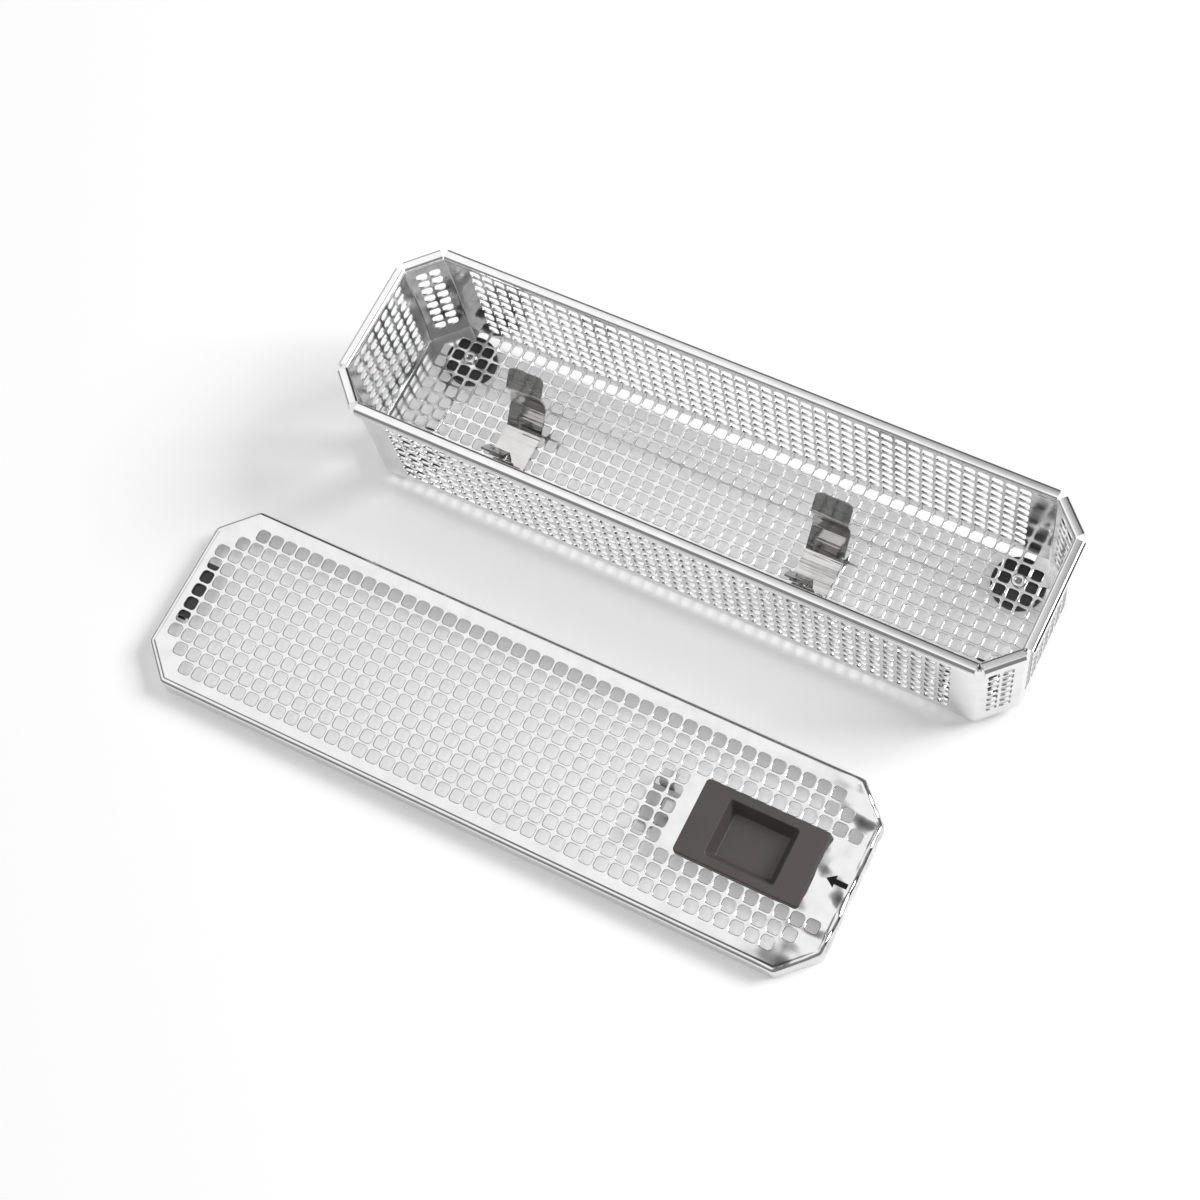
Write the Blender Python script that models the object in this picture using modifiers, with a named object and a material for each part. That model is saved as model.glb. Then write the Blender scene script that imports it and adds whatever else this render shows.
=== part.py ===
"""Perforated sterilising basket with its lid lying beside it.

The basket is an eight-sided tray of perforated sheet. Its floor carries four round feet and two
spring clips, and its eight walls end in a rolled hem. The lid is a perforated plate with a turned
down skirt, and a sliding latch whose tongue locks under the hem of the basket's right end.
Metres, +Z up, X along the tray. The origin is the middle of the whole set, on the table.
"""
import math

import bmesh
import bpy
from mathutils import Matrix, Vector

# Sheet and joints
SHEET = 0.0008
JOIN_GAP = 0.0003

# Basket, outside sizes
RIM_LENGTH = 0.2832
RIM_WIDTH = 0.0768
RIM_HEIGHT = 0.0580
HEM_REACH = 0.0028
HEM_INSET = 0.0012
HEM_STEP = 0.0022
HEM_DROP = 0.0015
BASKET_CHAMFER = 0.0122

# Basket perforation
BASKET_PITCH = 0.00542
BASKET_HOLE = 0.0044
FLOOR_COLUMNS = 49
FLOOR_ROWS = 13
WALL_ROWS = 9
LONG_WALL_COLUMNS = 43
END_WALL_COLUMNS = 7
CORNER_COLUMNS = 2
CORNER_ROWS = 8
WALL_TOP_BAND = 0.0054

# One opening of the long sheets stands for this many holes
GROUP_COLUMNS = 3
GROUP_ROWS = 2

# Feet
FOOT_RADIUS = 0.0105
FOOT_HEIGHT = 0.0045
FOOT_BEVEL = 0.0006
FOOT_FROM_END = 0.0188
FOOT_FROM_SIDE = 0.0126
FOOT_RECESS_RADIUS = 0.0040
FOOT_RECESS_DEPTH = 0.0016

# Tubular rivets
RIVET_RADIUS = 0.0015
RIVET_BORE = 0.0008
RIVET_HEAD_RADIUS = 0.0030
RIVET_HEAD_HEIGHT = 0.0007
RIVET_TAIL_RADIUS = 0.0026
RIVET_TAIL_HEIGHT = 0.0006

# Spring clips
CLIP_WIDTH = 0.0155
CLIP_SHEET = 0.0008
CLIP_LEFT_X = -0.0831
CLIP_RIGHT_X = 0.0484
CLIP_BACK_Y = 0.0027
CLIP_BASE_LENGTH = 0.0240
CLIP_HEIGHT = 0.0290
CLIP_LEAN = 0.0110
CLIP_BEND = 0.0013
JAW_WIDTH = 0.0096
JAW_HEIGHT = 0.0115
JAW_FLARE = 0.0035
JAW_OPENING = 0.0155
CLIP_RIVET_INSET_X = 0.0025
CLIP_RIVET_FROM_FRONT = 0.0045

# Lid, outside sizes
LID_LENGTH = 0.2900
LID_WIDTH = 0.0796
LID_HEIGHT = 0.0090
LID_CHAMFER = 0.0133
LID_BEND = 0.0018
LID_CORNER_RADIUS = 0.0030

# Lid perforation
LID_PITCH = 0.0061
LID_HOLE = 0.0050
LID_COLUMNS = 46
LID_ROWS = 11

# Latch
LATCH_FROM_EDGE = 0.0152
SLIDER_LENGTH = 0.0505
SLIDER_WIDTH = 0.0305
SLIDER_HEIGHT = 0.0022
SLIDER_CORNER = 0.0030
SLIDER_EDGE = 0.0007
RECESS_LENGTH = 0.0260
RECESS_WIDTH = 0.0220
RECESS_SLOPE = 0.0030
RECESS_FLOOR = 0.0012
WELL_END = 0.0040
WELL_SIDE = 0.0013
WELL_DEPTH = 0.0058
LATCH_TRAVEL = 0.0060
SLOT_CLEARANCE = 0.0004
TONGUE_WIDTH = 0.0140
TONGUE_REACH = 0.0014
TONGUE_TAIL = 0.0215
TONGUE_NOSE = 0.0025
GUIDE_LENGTH = 0.0060
GUIDE_FLANGE = 0.0050
GUIDE_CLEARANCE = 0.0004
GUIDE_BEND = 0.0010
OUTER_GUIDE_STEP = 0.0030
SPRING_LENGTH = 0.0128
SPRING_RADIUS = 0.0016
SPRING_WIRE = 0.00025
SPRING_TURNS = 6
BRACKET_WIDTH = 0.0080
BRACKET_FLANGE = 0.0050
SCREW_RADIUS = 0.0010
SCREW_HEAD_RADIUS = 0.0019
SCREW_HEAD_HEIGHT = 0.0006
SCREW_LENGTH = 0.0036
SCREW_CLEARANCE = 0.0003

# Moulded hook inside the lid's left end
HOOK_WIDTH = 0.0240
HOOK_SHEET = 0.0012
HOOK_BACK = 0.0016
HOOK_TOP_REACH = 0.0085
HOOK_TOE_REACH = 0.0044

# Arrangement: the basket lies beyond the lid and a little to its right
BASKET_STEP = 0.0311
BASKET_CLEARANCE = 0.0350

# Faces of round pieces
ROUND_STEPS = 15
SMALL_STEPS = 8
ARC_STEPS = 5
CUTTER_REACH = 0.004

# Worked out from the sizes above
BODY_LENGTH = RIM_LENGTH - 2 * HEM_REACH
BODY_WIDTH = RIM_WIDTH - 2 * HEM_REACH
FLOOR_TOP = FOOT_HEIGHT + SHEET
LEFT_EDGE = min(-LID_LENGTH / 2, BASKET_STEP - RIM_LENGTH / 2)
RIGHT_EDGE = max(LID_LENGTH / 2, BASKET_STEP + RIM_LENGTH / 2)
LID_X = -(LEFT_EDGE + RIGHT_EDGE) / 2
BASKET_X = LID_X + BASKET_STEP
SET_DEPTH = LID_WIDTH + BASKET_CLEARANCE + RIM_WIDTH
LID_Y = -(SET_DEPTH - LID_WIDTH) / 2
BASKET_Y = (SET_DEPTH - RIM_WIDTH) / 2
BASKET_AT = Vector((BASKET_X, BASKET_Y, FOOT_HEIGHT))
LID_AT = Vector((LID_X, LID_Y, 0.0))
LID_UNDERSIDE = LID_HEIGHT - SHEET
SLIDER_X = LID_LENGTH / 2 - LATCH_FROM_EDGE - SLIDER_LENGTH / 2
WELL_LENGTH = RECESS_LENGTH + 2 * WELL_END
WELL_WIDTH = RECESS_WIDTH + 2 * WELL_SIDE
WELL_BOTTOM = LID_HEIGHT - WELL_DEPTH
TONGUE_TOP = WELL_BOTTOM - JOIN_GAP
TONGUE_MIDDLE = TONGUE_TOP - SHEET / 2
TONGUE_TIP = BODY_LENGTH / 2 + TONGUE_REACH
WELL_LEFT = SLIDER_X - WELL_LENGTH / 2
WELL_RIGHT = SLIDER_X + WELL_LENGTH / 2
BRACKET_X = WELL_LEFT - JOIN_GAP - SPRING_LENGTH - JOIN_GAP - SHEET / 2
TONGUE_END = WELL_LEFT - TONGUE_TAIL - LATCH_TRAVEL
HEM_OUTER = (HEM_REACH + HEM_INSET + SHEET) / 2
HEM_SPRING = RIM_HEIGHT - HEM_OUTER
HEM_BOTTOM = HEM_OUTER + HEM_DROP


def clear_scene():
    """Removes what the file starts with."""
    for thing in list(bpy.data.objects):
        bpy.data.objects.remove(thing, do_unlink=True)


def make_collection(name):
    """A collection in the scene."""
    group = bpy.data.collections.new(name)
    bpy.context.scene.collection.children.link(group)
    return group


def make_material(name, colour, roughness, metallic):
    """A Principled material."""
    finish = bpy.data.materials.new(name)
    finish.use_nodes = True
    shader = finish.node_tree.nodes["Principled BSDF"]
    shader.inputs["Base Color"].default_value = (*colour, 1.0)
    shader.inputs["Roughness"].default_value = roughness
    shader.inputs["Metallic"].default_value = metallic
    finish.diffuse_color = (*colour, 1.0)
    return finish


def place(name, mesh, finish, at=(0, 0, 0), turn=0.0):
    """A named piece with a material of its own, turned about Z and put at a point."""
    thing = bpy.data.objects.new(name, mesh)
    thing.location = at
    thing.rotation_euler = (0, 0, turn)
    mesh.materials.append(make_material(name, *finish))
    PIECES.objects.link(thing)
    return thing


def place_cutter(name, mesh, at=(0, 0, 0), turn=0.0):
    """A hidden shape that cuts others."""
    thing = bpy.data.objects.new(name, mesh)
    thing.location = at
    thing.rotation_euler = (0, 0, turn)
    thing.hide_render = True
    thing.display_type = 'WIRE'
    CUTTERS.objects.link(thing)
    return thing


def combine(target, other, operation):
    """A Boolean between two pieces."""
    step = target.modifiers.new(operation.lower(), 'BOOLEAN')
    step.operation = operation
    step.object = other
    step.solver = 'EXACT'


def mesh_of(edit, name):
    """Turns an edit mesh into mesh data."""
    mesh = bpy.data.meshes.new(name)
    edit.to_mesh(mesh)
    edit.free()
    return mesh


def filled(name, outlines, thickness):
    """A flat plate: the first outline is its edge and the others are its openings."""
    curve = bpy.data.curves.new(name, 'CURVE')
    curve.dimensions = '2D'
    curve.fill_mode = 'BOTH'
    curve.extrude = thickness / 2
    for outline in outlines:
        spline = curve.splines.new('POLY')
        spline.points.add(len(outline) - 1)
        for point, (x, y) in zip(spline.points, outline):
            point.co = (x, y, 0, 1)
        spline.use_cyclic_u = True
    return welded(name, curve)


def welded(name, curve):
    """The closed mesh of a curve."""
    holder = bpy.data.objects.new(name, curve)
    CUTTERS.objects.link(holder)
    view = bpy.context.evaluated_depsgraph_get()
    mesh = bpy.data.meshes.new_from_object(holder.evaluated_get(view))
    bpy.data.objects.remove(holder, do_unlink=True)
    edit = bmesh.new()
    edit.from_mesh(mesh)
    bmesh.ops.remove_doubles(edit, verts=edit.verts, dist=1e-6)
    bmesh.ops.recalc_face_normals(edit, faces=edit.faces)
    edit.to_mesh(mesh)
    edit.free()
    return mesh


def rounded_path(corners, radius, steps=ARC_STEPS):
    """An open path whose inner corners are arcs."""
    path = [Vector(corners[0])]
    for before, corner, after in zip(corners, corners[1:], corners[2:]):
        path += corner_arc(Vector(before), Vector(corner), Vector(after), radius, steps)
    return path + [Vector(corners[-1])]


def corner_arc(before, corner, after, radius, steps):
    """Points of the arc that rounds one corner."""
    arrive = (corner - before).normalized()
    leave = (after - corner).normalized()
    half = arrive.angle(leave) / 2
    setback = radius * math.tan(half)
    start = corner - arrive * setback
    end = corner + leave * setback
    centre = corner + (leave - arrive).normalized() * radius / math.cos(half)
    points = []
    for step in range(steps + 1):
        share = step / steps
        chord = start.lerp(end, share) - centre
        points.append(centre + chord.normalized() * radius)
    return points


def octagon(length, width, chamfer, inset=0.0):
    """The eight corners of a rectangle with cut corners, anticlockwise, moved inwards by inset."""
    half_x = length / 2 - inset
    half_y = width / 2 - inset
    cut = chamfer - inset * (2 - math.sqrt(2))
    corners = []
    for side_x, side_y in ((1, 1), (-1, 1), (-1, -1), (1, -1)):
        on_x = (side_x * (half_x - cut), side_y * half_y)
        on_y = (side_x * half_x, side_y * (half_y - cut))
        corners += [on_y, on_x] if side_x * side_y > 0 else [on_x, on_y]
    return corners


def rounded_octagon(length, width, chamfer, inset, radius, steps=2):
    """The octagon with its corners rounded, as a closed outline."""
    corners = [Vector(corner) for corner in octagon(length, width, chamfer, inset)]
    outline = []
    for index, corner in enumerate(corners):
        after = corners[(index + 1) % len(corners)]
        outline += corner_arc(corners[index - 1], corner, after, radius, steps)
    return outline


def rectangle(x, y, width, height):
    """The corners of a rectangle about its middle."""
    return [(x + a * width / 2, y + b * height / 2) for a, b in ((1, 1), (-1, 1), (-1, -1), (1, -1))]


def circle(x, y, radius, steps=SMALL_STEPS):
    """A closed round outline."""
    angles = [2 * math.pi * step / steps for step in range(steps)]
    return [(x + radius * math.cos(angle), y + radius * math.sin(angle)) for angle in angles]


def opening_field(columns, rows, pitch, hole, group_x=1, group_y=1):
    """Middles and size of the openings of a perforated field about the origin."""
    count_x = max(1, round(columns / group_x))
    count_y = max(1, round(rows / group_y))
    step_x = columns * pitch / count_x
    step_y = rows * pitch / count_y
    middles = []
    for column in range(count_x):
        for row in range(count_y):
            x = (column - (count_x - 1) / 2) * step_x
            y = (row - (count_y - 1) / 2) * step_y
            middles.append((x, y))
    share = hole / pitch
    return middles, step_x * share, step_y * share


def inside_octagon(opening, length, width, chamfer, inset):
    """True if every corner of an opening lies inside the octagon."""
    limit_x = length / 2 - inset
    limit_y = width / 2 - inset
    limit_sum = length / 2 + width / 2 - chamfer - inset * math.sqrt(2)
    return all(abs(x) < limit_x and abs(y) < limit_y and abs(x) + abs(y) < limit_sum for x, y in opening)


def clear_of(opening, x, y, reach_x, reach_y):
    """True if an opening stays outside a rectangle about a point."""
    left, right = min(p[0] for p in opening), max(p[0] for p in opening)
    low, high = min(p[1] for p in opening), max(p[1] for p in opening)
    return right < x - reach_x or left > x + reach_x or high < y - reach_y or low > y + reach_y


def turned(name, profile, steps, finish, at):
    """A round piece: a closed profile of radius and height, turned about Z."""
    mesh = bpy.data.meshes.new(name)
    corners = [(radius, 0, height) for radius, height in profile]
    edges = [(index, (index + 1) % len(corners)) for index in range(len(corners))]
    mesh.from_pydata(corners, edges, [])
    thing = place(name, mesh, finish, at)
    screw = thing.modifiers.new("turn", 'SCREW')
    screw.steps = steps
    screw.render_steps = steps
    screw.use_merge_vertices = True
    screw.merge_threshold = 0.00001
    return thing


def folded_strip(name, path, width, thickness, finish, at=(0, 0, 0), along='X'):
    """A folded strip: a path in the upright plane across the named axis, as wide as asked."""
    edit = bmesh.new()
    if along == 'X':
        points = [Vector((-width / 2, a, b)) for a, b in path]
        across = Vector((width, 0, 0))
    else:
        points = [Vector((a, -width / 2, b)) for a, b in path]
        across = Vector((0, width, 0))
    verts = [edit.verts.new(point) for point in points]
    edges = [edit.edges.new(pair) for pair in zip(verts, verts[1:])]
    grown = bmesh.ops.extrude_edge_only(edit, edges=edges)
    moved = [item for item in grown["geom"] if isinstance(item, bmesh.types.BMVert)]
    bmesh.ops.translate(edit, verts=moved, vec=across)
    thing = place(name, mesh_of(edit, name), finish, at)
    skin = thing.modifiers.new("sheet", 'SOLIDIFY')
    skin.thickness = thickness
    skin.offset = 0.0
    skin.use_even_offset = True
    return thing


def drill(target, name, x, y, z, radius, height, steps=SMALL_STEPS):
    """A round hole along Z through a piece."""
    edit = bmesh.new()
    bmesh.ops.create_cone(
        edit, cap_ends=True, segments=steps, radius1=radius, radius2=radius, depth=height)
    cutter = place_cutter(name, mesh_of(edit, name), (x, y, z))
    combine(target, cutter, 'DIFFERENCE')


def hem_profile():
    """Cross-section of a wall: it steps inwards under the rim and curls over to the outside."""
    inner = HEM_OUTER - SHEET
    middle = HEM_REACH - HEM_OUTER
    angles = [math.pi * step / (2 * ARC_STEPS) for step in range(2 * ARC_STEPS + 1)]
    over = [(middle - HEM_OUTER * math.cos(a), HEM_SPRING + HEM_OUTER * math.sin(a)) for a in angles]
    under = [(middle + inner * math.cos(a), HEM_SPRING + inner * math.sin(a)) for a in angles]
    lip_end = HEM_SPRING - HEM_DROP
    lip = [(HEM_REACH, lip_end), (HEM_REACH - SHEET, lip_end)]
    step = HEM_SPRING - HEM_STEP
    return [(-SHEET, 0), (-SHEET, step)] + over + lip + under + [(0, step), (0, 0)]


def wall_blank(name, side_length):
    """A wall with its hem. The hem is shorter, as it stands further in than the wall."""
    turn_in = math.tan(math.radians(22.5))
    setback = SHEET * turn_in + JOIN_GAP / 2
    mesh = filled(name, [hem_profile()], side_length - 2 * setback)
    stand = Matrix(((0, 0, 1, 0), (1, 0, 0, 0), (0, 1, 0, 0), (0, 0, 0, 1)))
    mesh.transform(stand)
    hem_from = HEM_SPRING - (HEM_STEP + HEM_DROP) / 2
    for vertex in mesh.vertices:
        if vertex.co.z > hem_from:
            vertex.co.x -= math.copysign(HEM_INSET * turn_in, vertex.co.x)
    return mesh


def wall_cutter(name, openings, width, height, at, turn):
    """All the openings of one wall, as boxes."""
    edit = bmesh.new()
    for x, z in openings:
        size = Matrix.Diagonal((width, 2 * CUTTER_REACH, height, 1))
        bmesh.ops.create_cube(edit, size=1.0, matrix=Matrix.Translation((x, 0, z)) @ size)
    return place_cutter(name, mesh_of(edit, name), at, turn)


def wall(name, side_length, at, turn, columns, rows, groups=(1, 1), slot=False):
    """One perforated wall of the tray, its outer face through the given point."""
    thing = place(name, wall_blank(name, side_length), STEEL, at, turn)
    middles, width, height = opening_field(columns, rows, BASKET_PITCH, BASKET_HOLE, *groups)
    field_top = RIM_HEIGHT - WALL_TOP_BAND + (BASKET_PITCH - BASKET_HOLE) / 2
    middle_z = field_top - WALL_ROWS * BASKET_PITCH / 2
    openings = [(x, z + middle_z) for x, z in middles]
    if slot:
        top = max(z for x, z in openings)
        near_slot = 1.5 * BASKET_PITCH
        openings = [(x, z) for x, z in openings if z < top - 1e-6 or abs(x) > near_slot]
        slot_width = 2 * BASKET_PITCH + BASKET_HOLE
        latch_slot = wall_cutter(name + "_slot", [(0, top)], slot_width, height, at, turn)
        combine(thing, latch_slot, 'DIFFERENCE')
    cutter = wall_cutter(name + "_openings", openings, width, height, at, turn)
    combine(thing, cutter, 'DIFFERENCE')
    return thing


def foot_places():
    """Middles of the feet on the floor, by name."""
    x = BODY_LENGTH / 2 - SHEET - FOOT_FROM_END
    y = BODY_WIDTH / 2 - SHEET - FOOT_FROM_SIDE
    sides = {"near_left": (-1, -1), "near_right": (1, -1), "far_left": (-1, 1), "far_right": (1, 1)}
    return {name: (side_x * x, side_y * y) for name, (side_x, side_y) in sides.items()}


def clip_rivet_places(clip_x):
    """The two rivets of a clip: one through its jaw, one beside the jaw."""
    y = CLIP_BACK_Y - CLIP_BASE_LENGTH + CLIP_RIVET_FROM_FRONT
    jaw_x = clip_x - CLIP_WIDTH / 2 + JAW_WIDTH / 2
    side_x = clip_x + CLIP_WIDTH / 2 - CLIP_RIVET_INSET_X
    return {"jaw": (jaw_x, y), "side": (side_x, y)}


def tray_floor():
    """The perforated floor, left whole around each rivet."""
    inset = SHEET + JOIN_GAP
    edge = octagon(BODY_LENGTH, BODY_WIDTH, BASKET_CHAMFER, inset)
    rivets = list(foot_places().values())
    for clip_x in (CLIP_LEFT_X, CLIP_RIGHT_X):
        rivets += clip_rivet_places(clip_x).values()
    middles, width, height = opening_field(
        FLOOR_COLUMNS, FLOOR_ROWS, BASKET_PITCH, BASKET_HOLE, GROUP_COLUMNS, GROUP_ROWS)
    openings = [rectangle(x, y, width, height) for x, y in middles]
    margin = inset + JOIN_GAP
    openings = [o for o in openings
                if inside_octagon(o, BODY_LENGTH, BODY_WIDTH, BASKET_CHAMFER, margin)]
    land = RIVET_HEAD_RADIUS
    openings = [o for o in openings if all(clear_of(o, x, y, land, land) for x, y in rivets)]
    holes = [circle(x, y, RIVET_RADIUS + JOIN_GAP) for x, y in rivets]
    mesh = filled("tray_floor", [edge] + openings + holes, SHEET)
    place("tray_floor", mesh, STEEL, BASKET_AT + Vector((0, 0, SHEET / 2)))


def tray_walls():
    """The eight walls: two long ones, two ends and four corner panels."""
    half_x, half_y = BODY_LENGTH / 2, BODY_WIDTH / 2
    long_side = BODY_LENGTH - 2 * BASKET_CHAMFER
    end_side = BODY_WIDTH - 2 * BASKET_CHAMFER
    corner_side = BASKET_CHAMFER * math.sqrt(2)
    groups = (GROUP_COLUMNS, GROUP_ROWS)
    for name, side, turn in (("far", 1, 0), ("near", -1, math.pi)):
        at = BASKET_AT + Vector((0, side * half_y, 0))
        wall("long_wall_" + name, long_side, at, turn, LONG_WALL_COLUMNS, WALL_ROWS, groups)
    for name, side in (("left", -1), ("right", 1)):
        at = BASKET_AT + Vector((side * half_x, 0, 0))
        turn = -side * math.pi / 2
        wall("end_wall_" + name, end_side, at, turn, END_WALL_COLUMNS, WALL_ROWS, slot=side > 0)
    mid_x, mid_y = half_x - BASKET_CHAMFER / 2, half_y - BASKET_CHAMFER / 2
    for name, side_x, side_y in (("far_left", -1, 1), ("far_right", 1, 1),
                                 ("near_left", -1, -1), ("near_right", 1, -1)):
        at = BASKET_AT + Vector((side_x * mid_x, side_y * mid_y, 0))
        turn = math.atan2(side_y, side_x) - math.pi / 2
        wall("corner_panel_" + name, corner_side, at, turn, CORNER_COLUMNS, CORNER_ROWS)


def rivet(name, x, y, head_under, tail_over):
    """A tubular rivet: its head rests above one level and its rolled tail below another."""
    head_top = head_under + RIVET_HEAD_HEIGHT
    tail_bottom = tail_over - RIVET_TAIL_HEIGHT
    profile = [
        (RIVET_BORE, head_top), (RIVET_HEAD_RADIUS - RIVET_HEAD_HEIGHT, head_top),
        (RIVET_HEAD_RADIUS, head_under), (RIVET_RADIUS, head_under), (RIVET_RADIUS, tail_over),
        (RIVET_TAIL_RADIUS, tail_over), (RIVET_TAIL_RADIUS, tail_bottom), (RIVET_BORE, tail_bottom)]
    turned(name, profile, SMALL_STEPS, STEEL, (BASKET_X + x, BASKET_Y + y, 0))


def feet():
    """Four round feet under the floor, each with a rivet through it."""
    top = FOOT_HEIGHT - JOIN_GAP
    bore = RIVET_RADIUS + JOIN_GAP
    profile = [
        (bore, top), (FOOT_RADIUS, top), (FOOT_RADIUS, FOOT_BEVEL), (FOOT_RADIUS - FOOT_BEVEL, 0),
        (FOOT_RECESS_RADIUS, 0), (FOOT_RECESS_RADIUS, FOOT_RECESS_DEPTH), (bore, FOOT_RECESS_DEPTH)]
    for name, (x, y) in foot_places().items():
        turned("foot_" + name, profile, ROUND_STEPS, RUBBER, (BASKET_X + x, BASKET_Y + y, 0))
        rivet("foot_rivet_" + name, x, y, FLOOR_TOP + JOIN_GAP, FOOT_RECESS_DEPTH - JOIN_GAP)


def clip_spring(name, x):
    """The wavy leaf of a clip with its base on the floor, bent from one strip."""
    base = FLOOR_TOP + JOIN_GAP + CLIP_SHEET / 2
    rise = CLIP_HEIGHT
    lean = CLIP_LEAN
    corners = [
        (-CLIP_BASE_LENGTH, 0), (-0.10 * lean, 0), (0.16 * lean, 0.15 * rise),
        (0.52 * lean, 0.32 * rise), (0.62 * lean, 0.50 * rise), (0.48 * lean, 0.74 * rise),
        (lean, rise)]
    path = [(a, b + base) for a, b in rounded_path(corners, CLIP_BEND, steps=3)]
    at = (BASKET_X + x, BASKET_Y + CLIP_BACK_Y, 0)
    strip = folded_strip(name, path, CLIP_WIDTH, CLIP_SHEET, STEEL, at)
    for place_name, (hole_x, hole_y) in clip_rivet_places(x).items():
        hole = (BASKET_X + hole_x, BASKET_Y + hole_y, base)
        drill(strip, f"{name}_{place_name}_hole", *hole, RIVET_RADIUS + JOIN_GAP, 4 * CLIP_SHEET)


def clip_jaw(name, x):
    """The short jaw in front of a clip's leaf, its foot on the clip's base."""
    foot = FLOOR_TOP + 2 * JOIN_GAP + 1.5 * CLIP_SHEET
    front = -CLIP_BASE_LENGTH + CLIP_SHEET
    stand = -JAW_OPENING
    corners = [
        (front, 0), (stand, 0), (stand + 0.2 * JAW_FLARE, 0.55 * JAW_HEIGHT),
        (stand - JAW_FLARE, JAW_HEIGHT)]
    path = [(a, b + foot) for a, b in rounded_path(corners, CLIP_BEND, steps=3)]
    jaw_x = x - CLIP_WIDTH / 2 + JAW_WIDTH / 2
    at = (BASKET_X + jaw_x, BASKET_Y + CLIP_BACK_Y, 0)
    strip = folded_strip(name, path, JAW_WIDTH, CLIP_SHEET, STEEL, at)
    hole_x, hole_y = clip_rivet_places(x)["jaw"]
    hole = (BASKET_X + hole_x, BASKET_Y + hole_y, foot)
    drill(strip, name + "_hole", *hole, RIVET_RADIUS + JOIN_GAP, 4 * CLIP_SHEET)


def clips():
    """Two spring clips that hold an instrument across the tray."""
    under = FOOT_HEIGHT - JOIN_GAP
    over_base = FLOOR_TOP + 2 * JOIN_GAP + CLIP_SHEET
    over_jaw = over_base + JOIN_GAP + CLIP_SHEET
    for side, x in (("left", CLIP_LEFT_X), ("right", CLIP_RIGHT_X)):
        clip_spring(f"clip_{side}_spring", x)
        clip_jaw(f"clip_{side}_jaw", x)
        places = clip_rivet_places(x)
        rivet(f"clip_{side}_rivet_jaw", *places["jaw"], over_jaw, under)
        rivet(f"clip_{side}_rivet_side", *places["side"], over_base, under)


def lid_plate():
    """The perforated top of the lid, with the slot that the latch slides in."""
    inset = LID_BEND + JOIN_GAP
    edge = octagon(LID_LENGTH, LID_WIDTH, LID_CHAMFER, inset)
    middles, width, height = opening_field(
        LID_COLUMNS, LID_ROWS, LID_PITCH, LID_HOLE, GROUP_COLUMNS, GROUP_ROWS)
    openings = [rectangle(x, y, width, height) for x, y in middles]
    margin = inset + (LID_PITCH - LID_HOLE)
    openings = [o for o in openings if inside_octagon(o, LID_LENGTH, LID_WIDTH, LID_CHAMFER, margin)]
    latch_left = SLIDER_X - SLIDER_LENGTH / 2 - LATCH_TRAVEL
    latch_reach = (LID_LENGTH / 2 - latch_left) / 2
    middle = latch_left + latch_reach
    openings = [o for o in openings if clear_of(o, middle, 0, latch_reach, SLIDER_WIDTH / 2)]
    slot_left = WELL_LEFT - LATCH_TRAVEL - SLOT_CLEARANCE
    slot_right = WELL_RIGHT + SLOT_CLEARANCE
    slot_width = WELL_WIDTH + 2 * SLOT_CLEARANCE
    slot = rectangle((slot_left + slot_right) / 2, 0, slot_right - slot_left, slot_width)
    mesh = filled("lid_plate", [edge, slot] + openings, SHEET)
    place("lid_plate", mesh, STEEL, LID_AT + Vector((0, 0, LID_HEIGHT - SHEET / 2)))


def lid_skirt():
    """The turned down edge of the lid: rings of the outline from the bend down to the table."""
    angles = [math.pi / 2 * step / ARC_STEPS for step in range(ARC_STEPS + 1)]
    rings = [(LID_BEND * (1 - math.sin(a)), LID_HEIGHT - LID_BEND * (1 - math.cos(a))) for a in angles]
    rings.append((0.0, 0.0))
    edit = bmesh.new()
    loops = []
    for inset, height in rings:
        radius = LID_CORNER_RADIUS - inset
        outline = rounded_octagon(LID_LENGTH, LID_WIDTH, LID_CHAMFER, inset, radius)
        verts = [edit.verts.new((point.x, point.y, height)) for point in outline]
        loops.append([edit.edges.new(pair) for pair in zip(verts, verts[1:] + verts[:1])])
    for upper, lower in zip(loops, loops[1:]):
        bmesh.ops.bridge_loops(edit, edges=upper + lower)
    bmesh.ops.recalc_face_normals(edit, faces=edit.faces)
    thing = place("lid_skirt", mesh_of(edit, "lid_skirt"), STEEL, LID_AT)
    skin = thing.modifiers.new("sheet", 'SOLIDIFY')
    skin.thickness = SHEET
    skin.offset = -1.0
    skin.use_even_offset = True


def lid_hook():
    """A moulded hook inside the left skirt: its toe catches under the hem of the basket."""
    stand = LID_LENGTH / 2 - SHEET - JOIN_GAP
    top = LID_UNDERSIDE - JOIN_GAP
    under = top - HOOK_SHEET
    toe = under - HEM_BOTTOM - JOIN_GAP
    corner = LID_BEND - SHEET
    outline = [
        (corner, top), (HOOK_TOP_REACH, top), (HOOK_TOP_REACH, under), (HOOK_BACK, under),
        (HOOK_BACK, toe), (HOOK_TOE_REACH, toe), (HOOK_TOE_REACH, toe - HOOK_SHEET),
        (0, toe - HOOK_SHEET), (0, top - corner)]
    mesh = filled("lid_hook", [outline], HOOK_WIDTH)
    mesh.transform(Matrix(((1, 0, 0, 0), (0, 0, -1, 0), (0, 1, 0, 0), (0, 0, 0, 1))))
    place("lid_hook", mesh, PLASTIC, LID_AT - Vector((stand, 0, 0)))


def block(length, width, height, bevel, segments=3):
    """A box about its middle whose upright edges are rounded."""
    edit = bmesh.new()
    bmesh.ops.create_cube(edit, size=1.0, matrix=Matrix.Diagonal((length, width, height, 1)))
    upright = [edge for edge in edit.edges if abs(edge.verts[0].co.z - edge.verts[1].co.z) > height / 2]
    bmesh.ops.bevel(edit, geom=upright, offset=bevel, segments=segments, profile=0.5, affect='EDGES')
    return edit


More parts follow.
